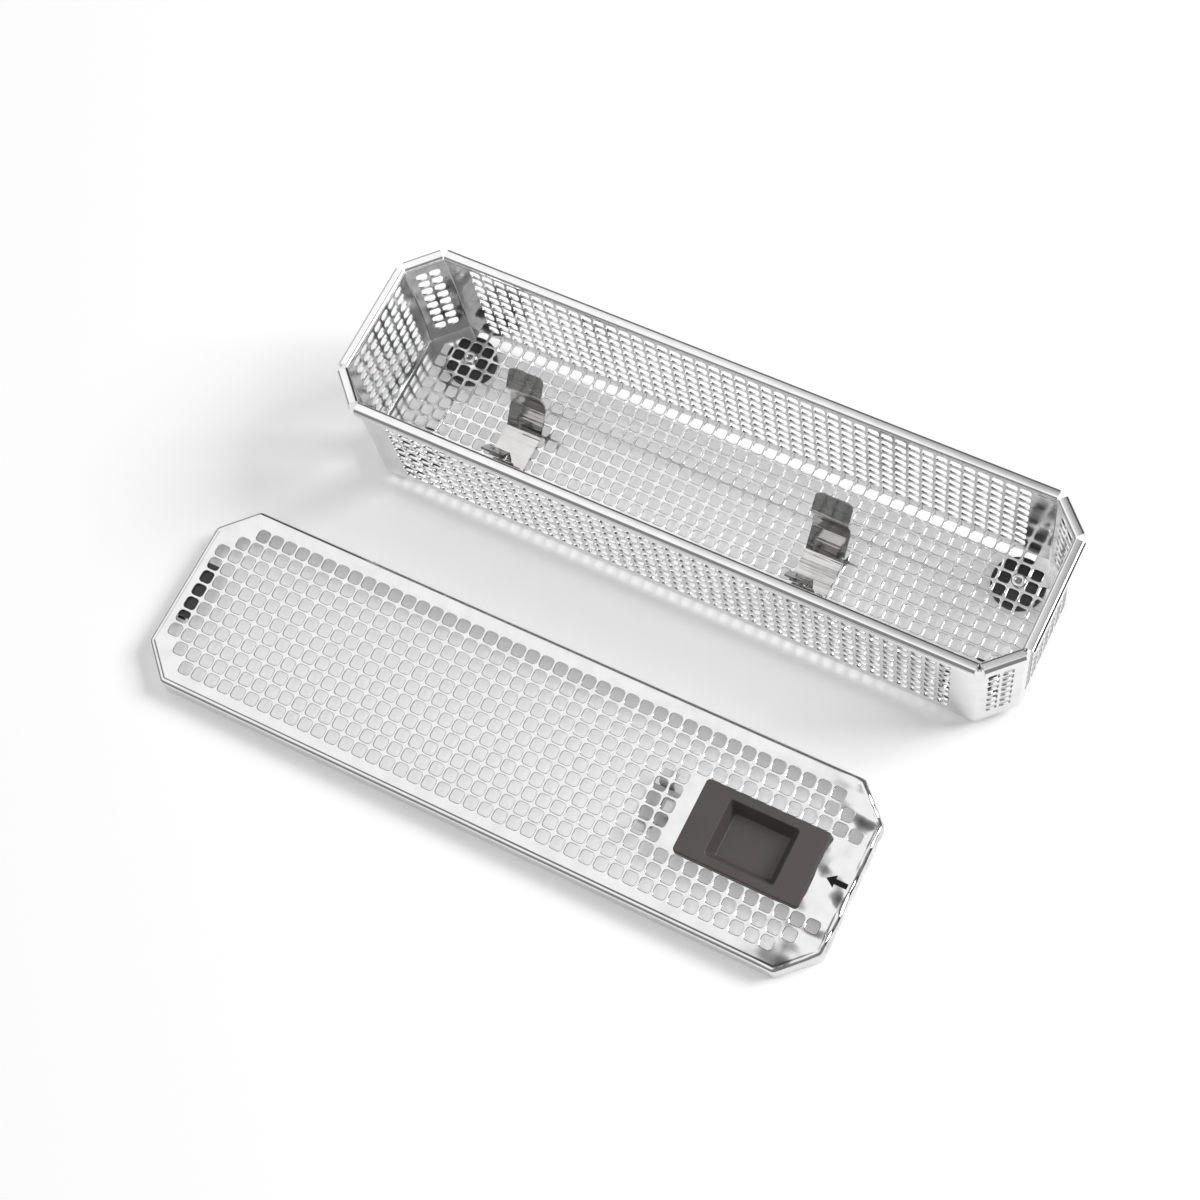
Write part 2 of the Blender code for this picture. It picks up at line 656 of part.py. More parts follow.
def latch_slider():
    """The sliding finger piece: a flat cap on the plate, and a hollow well through the slot."""
    under = LID_HEIGHT + JOIN_GAP
    edit = block(SLIDER_LENGTH, SLIDER_WIDTH, SLIDER_HEIGHT, SLIDER_CORNER)
    rim = [edge for edge in edit.edges if all(v.co.z > 0 for v in edge.verts)]
    bmesh.ops.bevel(edit, geom=rim, offset=SLIDER_EDGE, segments=2, profile=0.5, affect='EDGES')
    at = LID_AT + Vector((SLIDER_X, 0, under + SLIDER_HEIGHT / 2))
    thing = place("latch_slider", mesh_of(edit, "latch_slider"), PLASTIC, at)
    well_top = under + SLIDER_HEIGHT / 2
    well_height = well_top - WELL_BOTTOM
    well_mesh = mesh_of(block(WELL_LENGTH, WELL_WIDTH, well_height, WELL_SIDE), "latch_well")
    well = place_cutter("latch_well", well_mesh, LID_AT + Vector((SLIDER_X, 0, well_top - well_height / 2)))
    combine(thing, well, 'UNION')
    floor = WELL_BOTTOM + RECESS_FLOOR
    depth = under + SLIDER_HEIGHT - floor
    recess = block(RECESS_LENGTH, RECESS_WIDTH, depth, RECESS_SLOPE)
    for vert in recess.verts:
        if vert.co.z < 0:
            vert.co.x -= math.copysign(RECESS_SLOPE, vert.co.x)
            vert.co.y -= math.copysign(RECESS_SLOPE, vert.co.y)
        else:
            vert.co.z += JOIN_GAP
    at = LID_AT + Vector((SLIDER_X, 0, floor + depth / 2))
    combine(thing, place_cutter("latch_recess", mesh_of(recess, "latch_recess"), at), 'DIFFERENCE')
    for name, x in screw_places().items():
        hole_height = 2 * SCREW_LENGTH
        drill(thing, f"latch_{name}_hole", LID_X + x, LID_Y, WELL_BOTTOM,
              SCREW_RADIUS + SCREW_CLEARANCE, hole_height)


def screw_places():
    """Where the two screws hold the tongue to the slider's well, along X."""
    step = WELL_LENGTH / 2 - WELL_END / 2
    return {"inner": SLIDER_X - step, "outer": SLIDER_X + step}


def latch_tongue():
    """The flat steel tongue under the lid, with a pointed nose and two screw holes."""
    half = TONGUE_WIDTH / 2
    nose = TONGUE_NOSE
    edge = [(TONGUE_END, -half), (TONGUE_TIP - nose, -half), (TONGUE_TIP, -half + nose),
            (TONGUE_TIP, half - nose), (TONGUE_TIP - nose, half), (TONGUE_END, half)]
    holes = [circle(x, 0, SCREW_RADIUS + SCREW_CLEARANCE) for x in screw_places().values()]
    mesh = filled("latch_tongue", [edge] + holes, SHEET)
    place("latch_tongue", mesh, STEEL, LID_AT + Vector((0, 0, TONGUE_MIDDLE)))


def latch_screws():
    """Two screws from below, their heads under the tongue."""
    head_top = TONGUE_TOP - SHEET - JOIN_GAP
    head_bottom = head_top - SCREW_HEAD_HEIGHT
    top = WELL_BOTTOM + SCREW_LENGTH - SCREW_CLEARANCE
    profile = [
        (0, top), (SCREW_RADIUS, top), (SCREW_RADIUS, head_top), (SCREW_HEAD_RADIUS, head_top),
        (SCREW_HEAD_RADIUS, head_bottom), (0, head_bottom)]
    for name, x in screw_places().items():
        turned("latch_screw_" + name, profile, SMALL_STEPS, STEEL, (LID_X + x, LID_Y, 0))


def latch_guides():
    """Two hat-shaped bridges under the lid that the tongue slides in."""
    wall_y = TONGUE_WIDTH / 2 + GUIDE_CLEARANCE + SHEET / 2
    flange_y = wall_y + GUIDE_FLANGE
    top = LID_UNDERSIDE - JOIN_GAP - SHEET / 2
    bottom = TONGUE_TOP - SHEET - JOIN_GAP - SHEET / 2
    corners = [(-flange_y, top), (-wall_y, top), (-wall_y, bottom),
               (wall_y, bottom), (wall_y, top), (flange_y, top)]
    path = rounded_path(corners, GUIDE_BEND, steps=3)
    outer_x = WELL_RIGHT + OUTER_GUIDE_STEP + GUIDE_LENGTH / 2
    inner_x = BRACKET_X - BRACKET_FLANGE - GUIDE_LENGTH / 2 - JOIN_GAP
    for name, x in (("outer", outer_x), ("inner", inner_x)):
        at = LID_AT + Vector((x, 0, 0))
        folded_strip("latch_guide_" + name, path, GUIDE_LENGTH, SHEET, STEEL, at)


def latch_spring_parts():
    """The bracket that stops the latch's spring, and the spring itself."""
    top = LID_UNDERSIDE - JOIN_GAP - SHEET / 2
    tab_end = TONGUE_TOP + JOIN_GAP
    corners = [(BRACKET_X - BRACKET_FLANGE, top), (BRACKET_X, top), (BRACKET_X, tab_end)]
    path = rounded_path(corners, GUIDE_BEND, steps=3)
    folded_strip("latch_spring_bracket", path, BRACKET_WIDTH, SHEET, STEEL, LID_AT, along='Y')
    start = BRACKET_X + SHEET / 2 + JOIN_GAP + SPRING_WIRE
    run = SPRING_LENGTH - 2 * SPRING_WIRE
    height = (TONGUE_TOP + LID_UNDERSIDE) / 2
    points_a_turn = 8
    count = SPRING_TURNS * points_a_turn
    curve = bpy.data.curves.new("latch_spring", 'CURVE')
    curve.dimensions = '3D'
    curve.bevel_depth = SPRING_WIRE
    curve.bevel_resolution = 1
    curve.use_fill_caps = True
    spline = curve.splines.new('POLY')
    spline.points.add(count)
    for index, point in enumerate(spline.points):
        angle = 2 * math.pi * index / points_a_turn
        x = start + run * index / count
        y = (SPRING_RADIUS - SPRING_WIRE) * math.cos(angle)
        z = (SPRING_RADIUS - SPRING_WIRE) * math.sin(angle)
        point.co = (x, y, z, 1)
    mesh = welded("latch_spring", curve)
    place("latch_spring", mesh, STEEL, LID_AT + Vector((0, 0, height)))


STEEL = ((0.74, 0.74, 0.75), 0.22, 1.0)
RUBBER = ((0.025, 0.025, 0.026), 0.55, 0.0)
PLASTIC = ((0.105, 0.088, 0.085), 0.42, 0.0)

clear_scene()
PIECES = make_collection("sterilising_basket")
CUTTERS = make_collection("cutters")

tray_floor()
tray_walls()
feet()
clips()
lid_plate()
lid_skirt()
lid_hook()
latch_slider()
latch_tongue()
latch_screws()
latch_guides()
latch_spring_parts()
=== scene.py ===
"""Polished sterilising basket with its lid beside it, on a white table.

Every new piece is a surface computed with numpy. Sheets are flat regions between outlines and
their openings. Bends are the ring of an eight-sided outline carried through a profile, and upright
folds are its corner arcs. Hems are a bent band carried along a side, and clips a thin box carried
along a bent path. Round parts are a profile turned about a vertical axis, the slider is a stack of
rounded rectangles, and the coil spring is a ring carried along a helix. Sizes are in metres, in the
frame of the model.
"""
import math

import bmesh
import bpy
import numpy as np
from mathutils import Matrix, Vector
from mathutils.geometry import delaunay_2d_cdt


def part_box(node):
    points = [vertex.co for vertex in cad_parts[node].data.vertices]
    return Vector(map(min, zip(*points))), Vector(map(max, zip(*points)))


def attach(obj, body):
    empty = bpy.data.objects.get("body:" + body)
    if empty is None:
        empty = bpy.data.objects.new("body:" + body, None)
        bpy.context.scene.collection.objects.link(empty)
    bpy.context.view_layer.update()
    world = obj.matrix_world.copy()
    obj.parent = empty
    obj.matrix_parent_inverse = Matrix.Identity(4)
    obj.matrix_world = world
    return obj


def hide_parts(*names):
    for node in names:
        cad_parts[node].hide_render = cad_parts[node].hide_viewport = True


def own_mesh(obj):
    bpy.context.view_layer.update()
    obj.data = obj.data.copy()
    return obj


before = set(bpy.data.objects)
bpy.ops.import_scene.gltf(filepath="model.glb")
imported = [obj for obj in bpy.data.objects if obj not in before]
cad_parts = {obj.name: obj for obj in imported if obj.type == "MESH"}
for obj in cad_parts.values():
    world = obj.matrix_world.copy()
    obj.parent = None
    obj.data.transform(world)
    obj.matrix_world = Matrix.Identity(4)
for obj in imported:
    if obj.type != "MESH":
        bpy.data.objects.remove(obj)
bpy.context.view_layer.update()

# Bodies that the pieces ride on
STILL = "basket_and_lid"
SLIDING = "latch"

# Sheet, how wide and deep the rounded edge of a punched hole is, and the gap to a seated part
SHEET = 0.0008
EDGE_REACH = 0.0002
EDGE_DEPTH = 0.00009
SEAT_GAP = 0.0001

# Basket: its middle; its outline as length, width and what the slanted corners take off both; the
# radii of its folds; its height, and that of the floor's underside above the table
BASKET = np.array((0.01725, 0.0573))
TRAY = (0.2776, 0.0712, 0.0122)
TRAY_FOLD = 0.0021
TRAY_BEND = 0.00085
TRAY_HEIGHT = 0.0580
FLOOR_UNDER = 0.0045
FLOOR_TOP = FLOOR_UNDER + SHEET

# Hem: how far it steps in and over which height; half the width of its roll; how far its lip hangs
# down; its corners, their radius and the rise of its top; and the gap at a cut end
HEM_INSET = 0.0012
HEM_STEP = 0.0022
HEM_RADIUS = 0.0024
HEM_DROP = 0.0015
HEM_CORNER = 0.0009
HEM_TURN = 0.0008
HEM_CROWN = 0.00004
HEM_CUT = 0.0001
HEM_SPRING = TRAY_HEIGHT - HEM_RADIUS

# Holes of the basket, their columns and rows, how far below the rim the walls' holes end, and the
# margin that the floor's holes keep from the slanted corners
HOLE_PITCH = 0.00542
HOLE_SIZE = 0.0044
HOLE_CORNER = 0.0011
FLOOR_HOLES = (49, 13)
LONG_COLUMNS, END_COLUMNS, CORNER_COLUMNS = 43, 7, 2
WALL_ROWS, CORNER_ROWS = 9, 8
FIELD_DROP = 0.0054
FIELD_TOP = TRAY_HEIGHT - FIELD_DROP + (HOLE_PITCH - HOLE_SIZE) / 2
FLOOR_MARGIN = 0.0008

# Lid: its middle and outline, the radii of its folds, the bead along its edge, its holes, how many
# places they step back at a corner, and the block at the latch that has none
LID = np.array((-0.01385, -0.0559))
LID_SHAPE = (0.2900, 0.0796, 0.0133)
LID_TOP = 0.0090
LID_BEND = 0.0018
LID_FOLD = 0.0030
LID_BEAD = 0.0028
BEAD_HEIGHT = 0.0002
LID_CHAMFER = 0.0001
LID_PITCH = 0.0061
LID_HOLE = 0.0050
LID_CORNER = 0.00135
LID_HOLES = (46, 11)
LID_HOLE_STEPS = 2
BARE_COLUMN, BARE_ROWS = 35, (3, 7)

# Latch: slider and its finger recess; the lid's slot as both ends and half width; its spring; and
# how far the arrow's face lies above the lid
SLIDER_X = 0.10455
SLIDER_SIZE = (0.0505, 0.0305)
SLIDER_HEIGHT = 0.0022
RECESS = (0.0276, 0.0226)
RECESS_SLOPE = 0.0030
RECESS_FLOOR = 0.0044
SLOT = (0.08115, 0.12195, 0.0127)
COIL_WIRE = 0.00025
COIL_TURNS = 6
ARROW_LIFT = 0.00004

# Feet: their places, radius and the height of the hollow below them. Rivets: their holes, how far
# they reach below the floor, and the height at which they end in a foot's hollow
FOOT_AT = (0.1192, 0.0222)
FOOT_RADIUS = 0.0105
FOOT_HOLLOW = 0.0016
RIVET_HOLE = 0.0018
RIVET_REACH = 0.0007
FOOT_RIVET_END = 0.0010

# Clips: their places and width; how far the base runs back; the leaf's height and lean, and its
# wave as shares of both; the gap below a strip; the corners of the leaf's tip; the jaw's width and
# path; the radius of the bends and the spacing along them; and where the rivets sit
CLIP_X = (-0.0831, 0.0484)
CLIP_Y = 0.0027
CLIP_WIDTH = 0.0155
CLIP_BACK = 0.0240
CLIP_RISE, CLIP_LEAN = 0.0290, 0.0110
CLIP_WAVE = ((-0.10, 0), (0.16, 0.15), (0.52, 0.32), (0.62, 0.50), (0.48, 0.74), (1, 1))
CLIP_GAP = 0.0002
TIP_CORNER = 0.0022
JAW_WIDTH = 0.0096
JAW_PATH = ((-0.0232, 0), (-0.0155, 0), (-0.0148, 0.0063), (-0.0190, 0.0115))
STRIP_BEND = 0.0013
STRIP_STEP = 0.0008
RIVET_FROM_BACK = 0.0045
RIVET_FROM_SIDE = 0.0025


def joined(parts):
    """One surface from several: their points in a row and their faces renumbered."""
    points, faces, start = [], [], 0
    for part_points, part_faces in parts:
        points.append(part_points)
        faces += [block + start for block in part_faces]
        start += len(part_points)
    return np.concatenate(points), faces


def moved(surface, x, y, z=0.0):
    """A surface moved to its place."""
    points, faces = surface
    return points + np.array((x, y, z)), faces


def piece(name, surface, finish, nodes=(), body=STILL, crease=35):
    """An object from points and blocks of faces. Its seams are welded, points that no face uses
    are dropped, and edges sharper than the crease stay crisp."""
    points, faces = surface
    mesh = bpy.data.meshes.new(name)
    mesh.from_pydata(points.tolist(), [], [face for block in faces for face in block.tolist()])
    edit = bmesh.new()
    edit.from_mesh(mesh)
    bmesh.ops.remove_doubles(edit, verts=edit.verts, dist=2e-6)
    loose = [point for point in edit.verts if not point.link_faces]
    bmesh.ops.delete(edit, geom=loose, context="VERTS")
    edit.to_mesh(mesh)
    edit.free()
    mesh.shade_smooth()
    mesh.set_sharp_from_angle(angle=math.radians(crease))
    thing = bpy.data.objects.new(name, mesh)
    bpy.context.scene.collection.objects.link(thing)
    mesh.materials.append(finish)
    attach(thing, body)
    if nodes:
        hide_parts(*nodes)
    return thing


def ring_faces(rings, count, closed=False):
    """Quads from each ring of points to the next and, where closed, from the last to the first."""
    ring_number = np.arange(rings if closed else rings - 1)
    this, place = np.meshgrid(ring_number, np.arange(count), indexing="ij")
    this, place = this.ravel(), place.ravel()
    after, beside = (this + 1) % rings, (place + 1) % count
    corners = (this * count + place, after * count + place,
               after * count + beside, this * count + beside)
    return np.stack(corners, axis=1)


def strip_faces(count):
    """Sides, first cap and last cap of a strip's section carried from one place to another. The
    section is a line of points and the same number of points that run back beside it."""
    sides = ring_faces(2, 2 * count)[:, ::-1]
    index = np.arange(count - 1)
    cap = np.stack([index, index + 1, 2 * count - 2 - index, 2 * count - 1 - index], axis=1)
    return sides, cap[:, ::-1], cap + 2 * count


def signed_area(loop):
    """Area of a flat loop, positive when it runs anticlockwise."""
    following = np.roll(loop, -1, axis=0)
    return 0.5 * np.sum(loop[:, 0] * following[:, 1] - following[:, 0] * loop[:, 1])


def run_anticlockwise(loop, anticlockwise=True):
    """The loop, turned round where it runs the other way."""
    return loop if (signed_area(loop) > 0) == anticlockwise else loop[::-1]


def widened(loop, reach):
    """A loop scaled about its middle so that each of its four sides moves out by the reach."""
    middle = (loop.max(axis=0) + loop.min(axis=0)) / 2
    return middle + (loop - middle) * (1 + reach / np.abs(loop - middle).max(axis=0))


def pierced_sheet(outline, openings, thickness=SHEET, rim=True):
    """The flat region between an outline and its openings, seen as two parallel faces: one at
    height 0, one a thickness below it, and a wall between them along every loop. The upper mouth
    of every opening is widened by the edge's reach, and slopes down to the wall by its depth.
    The rim says which edges of the outline have a wall: all, none, or a value for each."""
    loops = [run_anticlockwise(outline)] + [run_anticlockwise(loop, False) for loop in openings]
    flat = np.concatenate(loops)
    sizes = np.array([len(loop) for loop in loops])
    starts = np.repeat(np.cumsum(sizes) - sizes, sizes)
    owner = np.repeat(np.arange(len(loops)), sizes)
    index = np.arange(len(flat))
    following = starts + (index - starts + 1) % np.repeat(sizes, sizes)
    edges = np.stack([index, following], axis=1)
    points = [Vector(point) for point in (flat * 1000).tolist()]
    found = delaunay_2d_cdt(points, edges.tolist(), [], 1, 1e-7, False)
    triangles = np.array(found[2])
    if len(found[0]) != len(flat):
        raise ValueError("outlines meet")
    marks = owner[triangles]
    same = (marks[:, 0] == marks[:, 1]) & (marks[:, 1] == marks[:, 2]) & (marks[:, 0] > 0)
    triangles = triangles[~same]
    a, b, c = (flat[triangles[:, side]] for side in range(3))
    turn = (b[:, 0] - a[:, 0]) * (c[:, 1] - a[:, 1]) - (b[:, 1] - a[:, 1]) * (c[:, 0] - a[:, 0])
    triangles[turn < 0] = triangles[turn < 0][:, ::-1]
    count = len(flat)
    mouths = np.concatenate([loops[0]] + [widened(loop, EDGE_REACH) for loop in loops[1:]])
    upper = np.column_stack([mouths, np.zeros(count)])
    lip = np.column_stack([flat, np.full(count, -EDGE_DEPTH)])
    lower = np.column_stack([flat, np.full(count, -thickness)])
    punched, walled = owner > 0, np.zeros(count, bool)
    walled[~punched] = rim
    walls = []
    for chosen, level, drop in ((punched, 0, count), (punched, count, count),
                                (walled, 0, 2 * count)):
        this, after = index[chosen] + level, following[chosen] + level
        walls.append(np.stack([this, this + drop, after + drop, after], axis=1))
    faces = [triangles, triangles[:, ::-1] + 2 * count] + walls
    return np.concatenate([upper, lip, lower]), faces


def stood(surface, origin, along, up, out):
    """A sheet put in place: its first axis along one direction, its second up, its faces out."""
    points, faces = surface
    turned = points[:, :1] * np.array(along) + points[:, 1:2] * np.array(up)
    return np.array(origin) + turned + points[:, 2:] * np.array(out), faces


def rounded_square(size, corner, steps=4):
    """Points of a square with round corners: a quarter circle about each corner's middle."""
    angle = np.linspace(0, math.pi / 2, steps)
    quarter = np.arange(4)[:, None] * math.pi / 2
    turn = quarter + math.pi / 4
    reach = (size / 2 - corner) * math.sqrt(2)
    x = reach * np.cos(turn) + corner * np.cos(quarter + angle)
    y = reach * np.sin(turn) + corner * np.sin(quarter + angle)
    return np.column_stack([x.ravel(), y.ravel()])


def square_openings(middles, size, corner):
    """A rounded square hole about every middle."""
    return list(middles[:, None, :] + rounded_square(size, corner)[None, :, :])


def ring(centre, radius, steps=16):
    """A flat circle of points."""
    angle = np.arange(steps) * 2 * math.pi / steps
    return np.array(centre) + radius * np.column_stack([np.cos(angle), np.sin(angle)])


def lattice(columns, rows, pitch):
    """Middles of a grid of holes about the origin, with their column and row numbers."""
    column, row = np.meshgrid(np.arange(columns), np.arange(rows), indexing="ij")
    column, row = column.ravel(), row.ravel()
    x = (column - (columns - 1) / 2) * pitch
    y = (row - (rows - 1) / 2) * pitch
    return np.column_stack([x, y]), column, row


def side_distances(shape):
    """How far each of the eight sides lies from the middle, along its own normal."""
    length, width, chamfer = shape
    slanted = (length / 2 + width / 2 - chamfer) / math.sqrt(2)
    return np.array([length / 2, slanted, width / 2, slanted] * 2)


def corner_centres(shape, radius):
    """Middles of the round corners: where two neighbouring sides, moved in by the radius, meet."""
    distance = side_distances(shape) - radius
    normal = np.arange(9) * math.pi / 4
    first, second = normal[:8], normal[1:]
    near, far = distance, np.roll(distance, -1)
    scale = math.sin(math.pi / 4)
    x = (near * np.sin(second) - far * np.sin(first)) / scale
    y = (far * np.cos(first) - near * np.cos(second)) / scale
    return np.column_stack([x, y])


def eight_sided(shape, radius, inset=0.0, steps=6):
    """Outline with round corners: from each corner's middle, an arc from one side's normal to the
    next. An inset outline keeps the middles and loses the inset from the radius."""
    centres = corner_centres(shape, radius)
    angle = np.arange(8)[:, None] * math.pi / 4 + np.linspace(0, math.pi / 4, steps)
    x = centres[:, :1] + (radius - inset) * np.cos(angle)
    y = centres[:, 1:] + (radius - inset) * np.sin(angle)
    return np.column_stack([x.ravel(), y.ravel()])


def fits_inside(middles, half, shape, inset):
    """True for square holes whose corners all keep clear of the outline by the inset."""
    normal = np.arange(8) * math.pi / 4
    directions = np.stack([np.cos(normal), np.sin(normal)])
    reach = np.abs(directions).sum(axis=0) * half
    return np.all(middles @ directions + reach < side_distances(shape) - inset, axis=1)


def carried_rings(shape, radius, insets, heights):
    """The eight-sided outline carried through a profile of insets and heights, a ring for each."""
    rings = [eight_sided(shape, radius, inset) for inset in insets]
    count = len(rings[0])
    points = np.concatenate([np.column_stack([loop, np.full(count, height)])
                             for loop, height in zip(rings, heights)])
    return points, [ring_faces(len(rings), count)]


def turned_round(profile, centre, steps):
    """A closed profile of radius and height, turned about a vertical axis."""
    profile = np.array(profile)
    angle = np.arange(steps) * 2 * math.pi / steps
    x = centre[0] + np.outer(np.cos(angle), profile[:, 0])
    y = centre[1] + np.outer(np.sin(angle), profile[:, 0])
    z = np.broadcast_to(profile[:, 1], x.shape)
    points = np.column_stack([x.ravel(), y.ravel(), z.ravel()])
    return points, [ring_faces(steps, len(profile), closed=True)]


def arc(centre, radius, start, end, steps):
    """Points of an arc in a profile, angles in degrees."""
    angle = np.radians(np.linspace(start, end, steps))
    return np.column_stack([centre[0] + radius * np.cos(angle), centre[1] + radius * np.sin(angle)])


def bent_path(corners, radius, steps=7):
    """A polyline whose inner corners are arcs of one radius, the way sheet is folded."""
    corners = np.array(corners, dtype=float)
    path = [corners[:1]]
    for before, corner, after in zip(corners, corners[1:], corners[2:]):
        arrive = (corner - before) / np.linalg.norm(corner - before)
        leave = (after - corner) / np.linalg.norm(after - corner)
        half = math.acos(max(-1.0, min(1.0, float(arrive @ leave)))) / 2
        setback = radius * math.tan(half)
        towards = (leave - arrive) / np.linalg.norm(leave - arrive)
        centre = corner + towards * radius / math.cos(half)
        start, end = corner - arrive * setback - centre, corner + leave * setback - centre
        share = np.linspace(0, 1, steps)[:, None]
        spokes = start * (1 - share) + end * share
        spokes *= radius / np.linalg.norm(spokes, axis=1, keepdims=True)
        path.append(centre + spokes)
    path.append(corners[-1:])
    return np.concatenate(path)


def evenly(path, step):
    """The path with extra points, so that no two neighbours lie much further apart than the step,
    and how far along the path each point lies."""
    length = np.linalg.norm(np.diff(path, axis=0), axis=1)
    travelled = np.concatenate([[0], np.cumsum(length)])
    wanted = [travelled]
    for start, run in zip(travelled, length):
        parts = max(1, int(run / step))
        wanted.append(start + run * np.arange(1, parts) / parts)
    wanted = np.unique(np.round(np.concatenate(wanted), 9))
    columns = [np.interp(wanted, travelled, path[:, axis]) for axis in range(2)]
    return np.column_stack(columns), wanted


def band_lines(path, thickness):
    """The two faces of a bent band: the path moved half a thickness to either side."""
    ahead = np.gradient(path, axis=0)
    ahead /= np.linalg.norm(ahead, axis=1, keepdims=True)
    across = np.column_stack([-ahead[:, 1], ahead[:, 0]])
    return path + across * thickness / 2, path - across * thickness / 2


def wide_band(path, half_width, thickness):
    """A bent strip: its section is a thin box of changing width, carried along the path.
    First axis of the result is the width, the others are those of the path."""
    left, right = band_lines(path, thickness)
    corners = [np.column_stack([side * half_width, line])
               for side, line in ((-1, left), (1, left), (1, right), (-1, right))]
    points = np.stack(corners, axis=1).reshape(-1, 3)
    last = (len(path) - 1) * 4
    caps = np.array([[0, 3, 2, 1], [last, last + 1, last + 2, last + 3]])
    return points, [ring_faces(len(path), 4)[:, ::-1], caps]


def coil(start, run, radius, wire, turns, steps=16, sides=8):
    """Coil spring: a helix about a lengthwise axis. Round each of its points lies a ring of the
    wire, in the plane of the outward direction and of the one across it and the helix."""
    share = np.linspace(0, 1, turns * steps + 1)
    angle = 2 * math.pi * turns * share
    flat = np.zeros_like(angle)
    outward = np.column_stack([flat, np.cos(angle), np.sin(angle)])
    middle = np.array(start) + radius * outward
    middle[:, 0] += run * share
    climb = run / (2 * math.pi * turns)
    ahead = np.column_stack([flat + climb, -radius * np.sin(angle), radius * np.cos(angle)])
    ahead /= math.hypot(climb, radius)
    across = np.cross(ahead, outward)
    turn = (np.arange(sides) * 2 * math.pi / sides)[None, :, None]
    spokes = np.cos(turn) * outward[:, None] + np.sin(turn) * across[:, None]
    points = middle[:, None] + wire * spokes
    ends = np.array([np.arange(sides)[::-1], np.arange(sides) + (len(angle) - 1) * sides])
    faces = [ring_faces(len(angle), sides)[:, ::-1], ends]
    return points.reshape(-1, 3), faces


def add(tree, kind, inputs=None, **values):
    """A node with its properties set, and each given input set to a value or linked to a socket."""
    node = tree.nodes.new(kind)
    for key, value in values.items():
        setattr(node, key, value)
    for label, value in (inputs or {}).items():
        if isinstance(value, bpy.types.NodeSocket):
            tree.links.new(value, node.inputs[label])
        else:
            node.inputs[label].default_value = value
    return node


def own_place(tree):
    """The object's own coordinates."""
    return add(tree, "ShaderNodeTexCoord").outputs["Object"]


def noise(tree, place, scale, detail):
    """Cloudy noise over a place."""
    inputs = {"Vector": place, "Scale": scale, "Detail": detail}
    return add(tree, "ShaderNodeTexNoise", inputs).outputs["Fac"]


def stretched(tree, place, scale):
    """A place scaled by its own amount along every axis."""
    return add(tree, "ShaderNodeMapping", {"Vector": place, "Scale": scale}).outputs["Vector"]


def bumped(tree, height, strength, distance, before=None):
    """The surface's normal, or the one before, tilted by the slope of a height."""
    inputs = {"Height": height, "Strength": strength, "Distance": distance}
    if before is not None:
        inputs["Normal"] = before
    return add(tree, "ShaderNodeBump", inputs).outputs["Normal"]


def blended(tree, share, first, second, **values):
    """A colour between two, or both of them combined in another way."""
    inputs = {"Factor": share, 6: first, 7: second}
    return add(tree, "ShaderNodeMix", inputs, data_type="RGBA", **values).outputs[2]


def shader_of(name):
    """A material, its nodes and the Principled shader among them."""
    finish = bpy.data.materials.new(name)
    finish.use_nodes = True
    return finish, finish.node_tree, finish.node_tree.nodes["Principled BSDF"]


def connect(tree, shader, sources):
    """Links from each source to the shader's input of that name."""
    for label, source in sources.items():
        tree.links.new(source, shader.inputs[label])


def polish_group():
    """Rolled and electropolished sheet. Broad ripples tilt the surface, fine grain runs along it,
    and cloudy patches change its gloss and tone."""
    group = bpy.data.node_groups.new("polished_sheet", "ShaderNodeTree")
    takes = {"Ripple Size": 55.0, "Ripple Depth": 0.07, "Grain Depth": 0.05, "Streak Depth": 0.0,
             "Gloss Low": 0.1, "Gloss High": 0.25,
             "Light Tone": (0.8, 0.8, 0.8, 1), "Dark Tone": (0.7, 0.7, 0.7, 1)}
    for label, value in takes.items():
        kind = "NodeSocketColor" if isinstance(value, tuple) else "NodeSocketFloat"
        socket = group.interface.new_socket(label, in_out="INPUT", socket_type=kind)
        socket.default_value = value
    for label, kind in (("Tone", "Color"), ("Gloss", "Float"), ("Normal", "Vector")):
        group.interface.new_socket(label, in_out="OUTPUT", socket_type="NodeSocket" + kind)
    given = add(group, "NodeGroupInput").outputs
    place = own_place(group)
    ripple = noise(group, place, given["Ripple Size"], 2.0)
    grain = noise(group, stretched(group, place, (120, 3500, 3500)), 1.0, 1.0)
    streak = noise(group, stretched(group, place, (18, 430, 430)), 1.0, 2.0)
    cloud = noise(group, place, 130.0, 4.0)
    normal = bumped(group, ripple, given["Ripple Depth"], 0.006)
    normal = bumped(group, grain, given["Grain Depth"], 0.0001, normal)
    normal = bumped(group, streak, given["Streak Depth"], 0.0006, normal)
    gloss = add(group, "ShaderNodeMapRange",
                {"Value": cloud, "From Min": 0.35, "From Max": 0.65,
                 "To Min": given["Gloss Low"], "To Max": given["Gloss High"]})
    tone = blended(group, cloud, given["Light Tone"], given["Dark Tone"])
    add(group, "NodeGroupOutput",
        {"Tone": tone, "Gloss": gloss.outputs["Result"], "Normal": normal})
    return group


POLISH = polish_group()


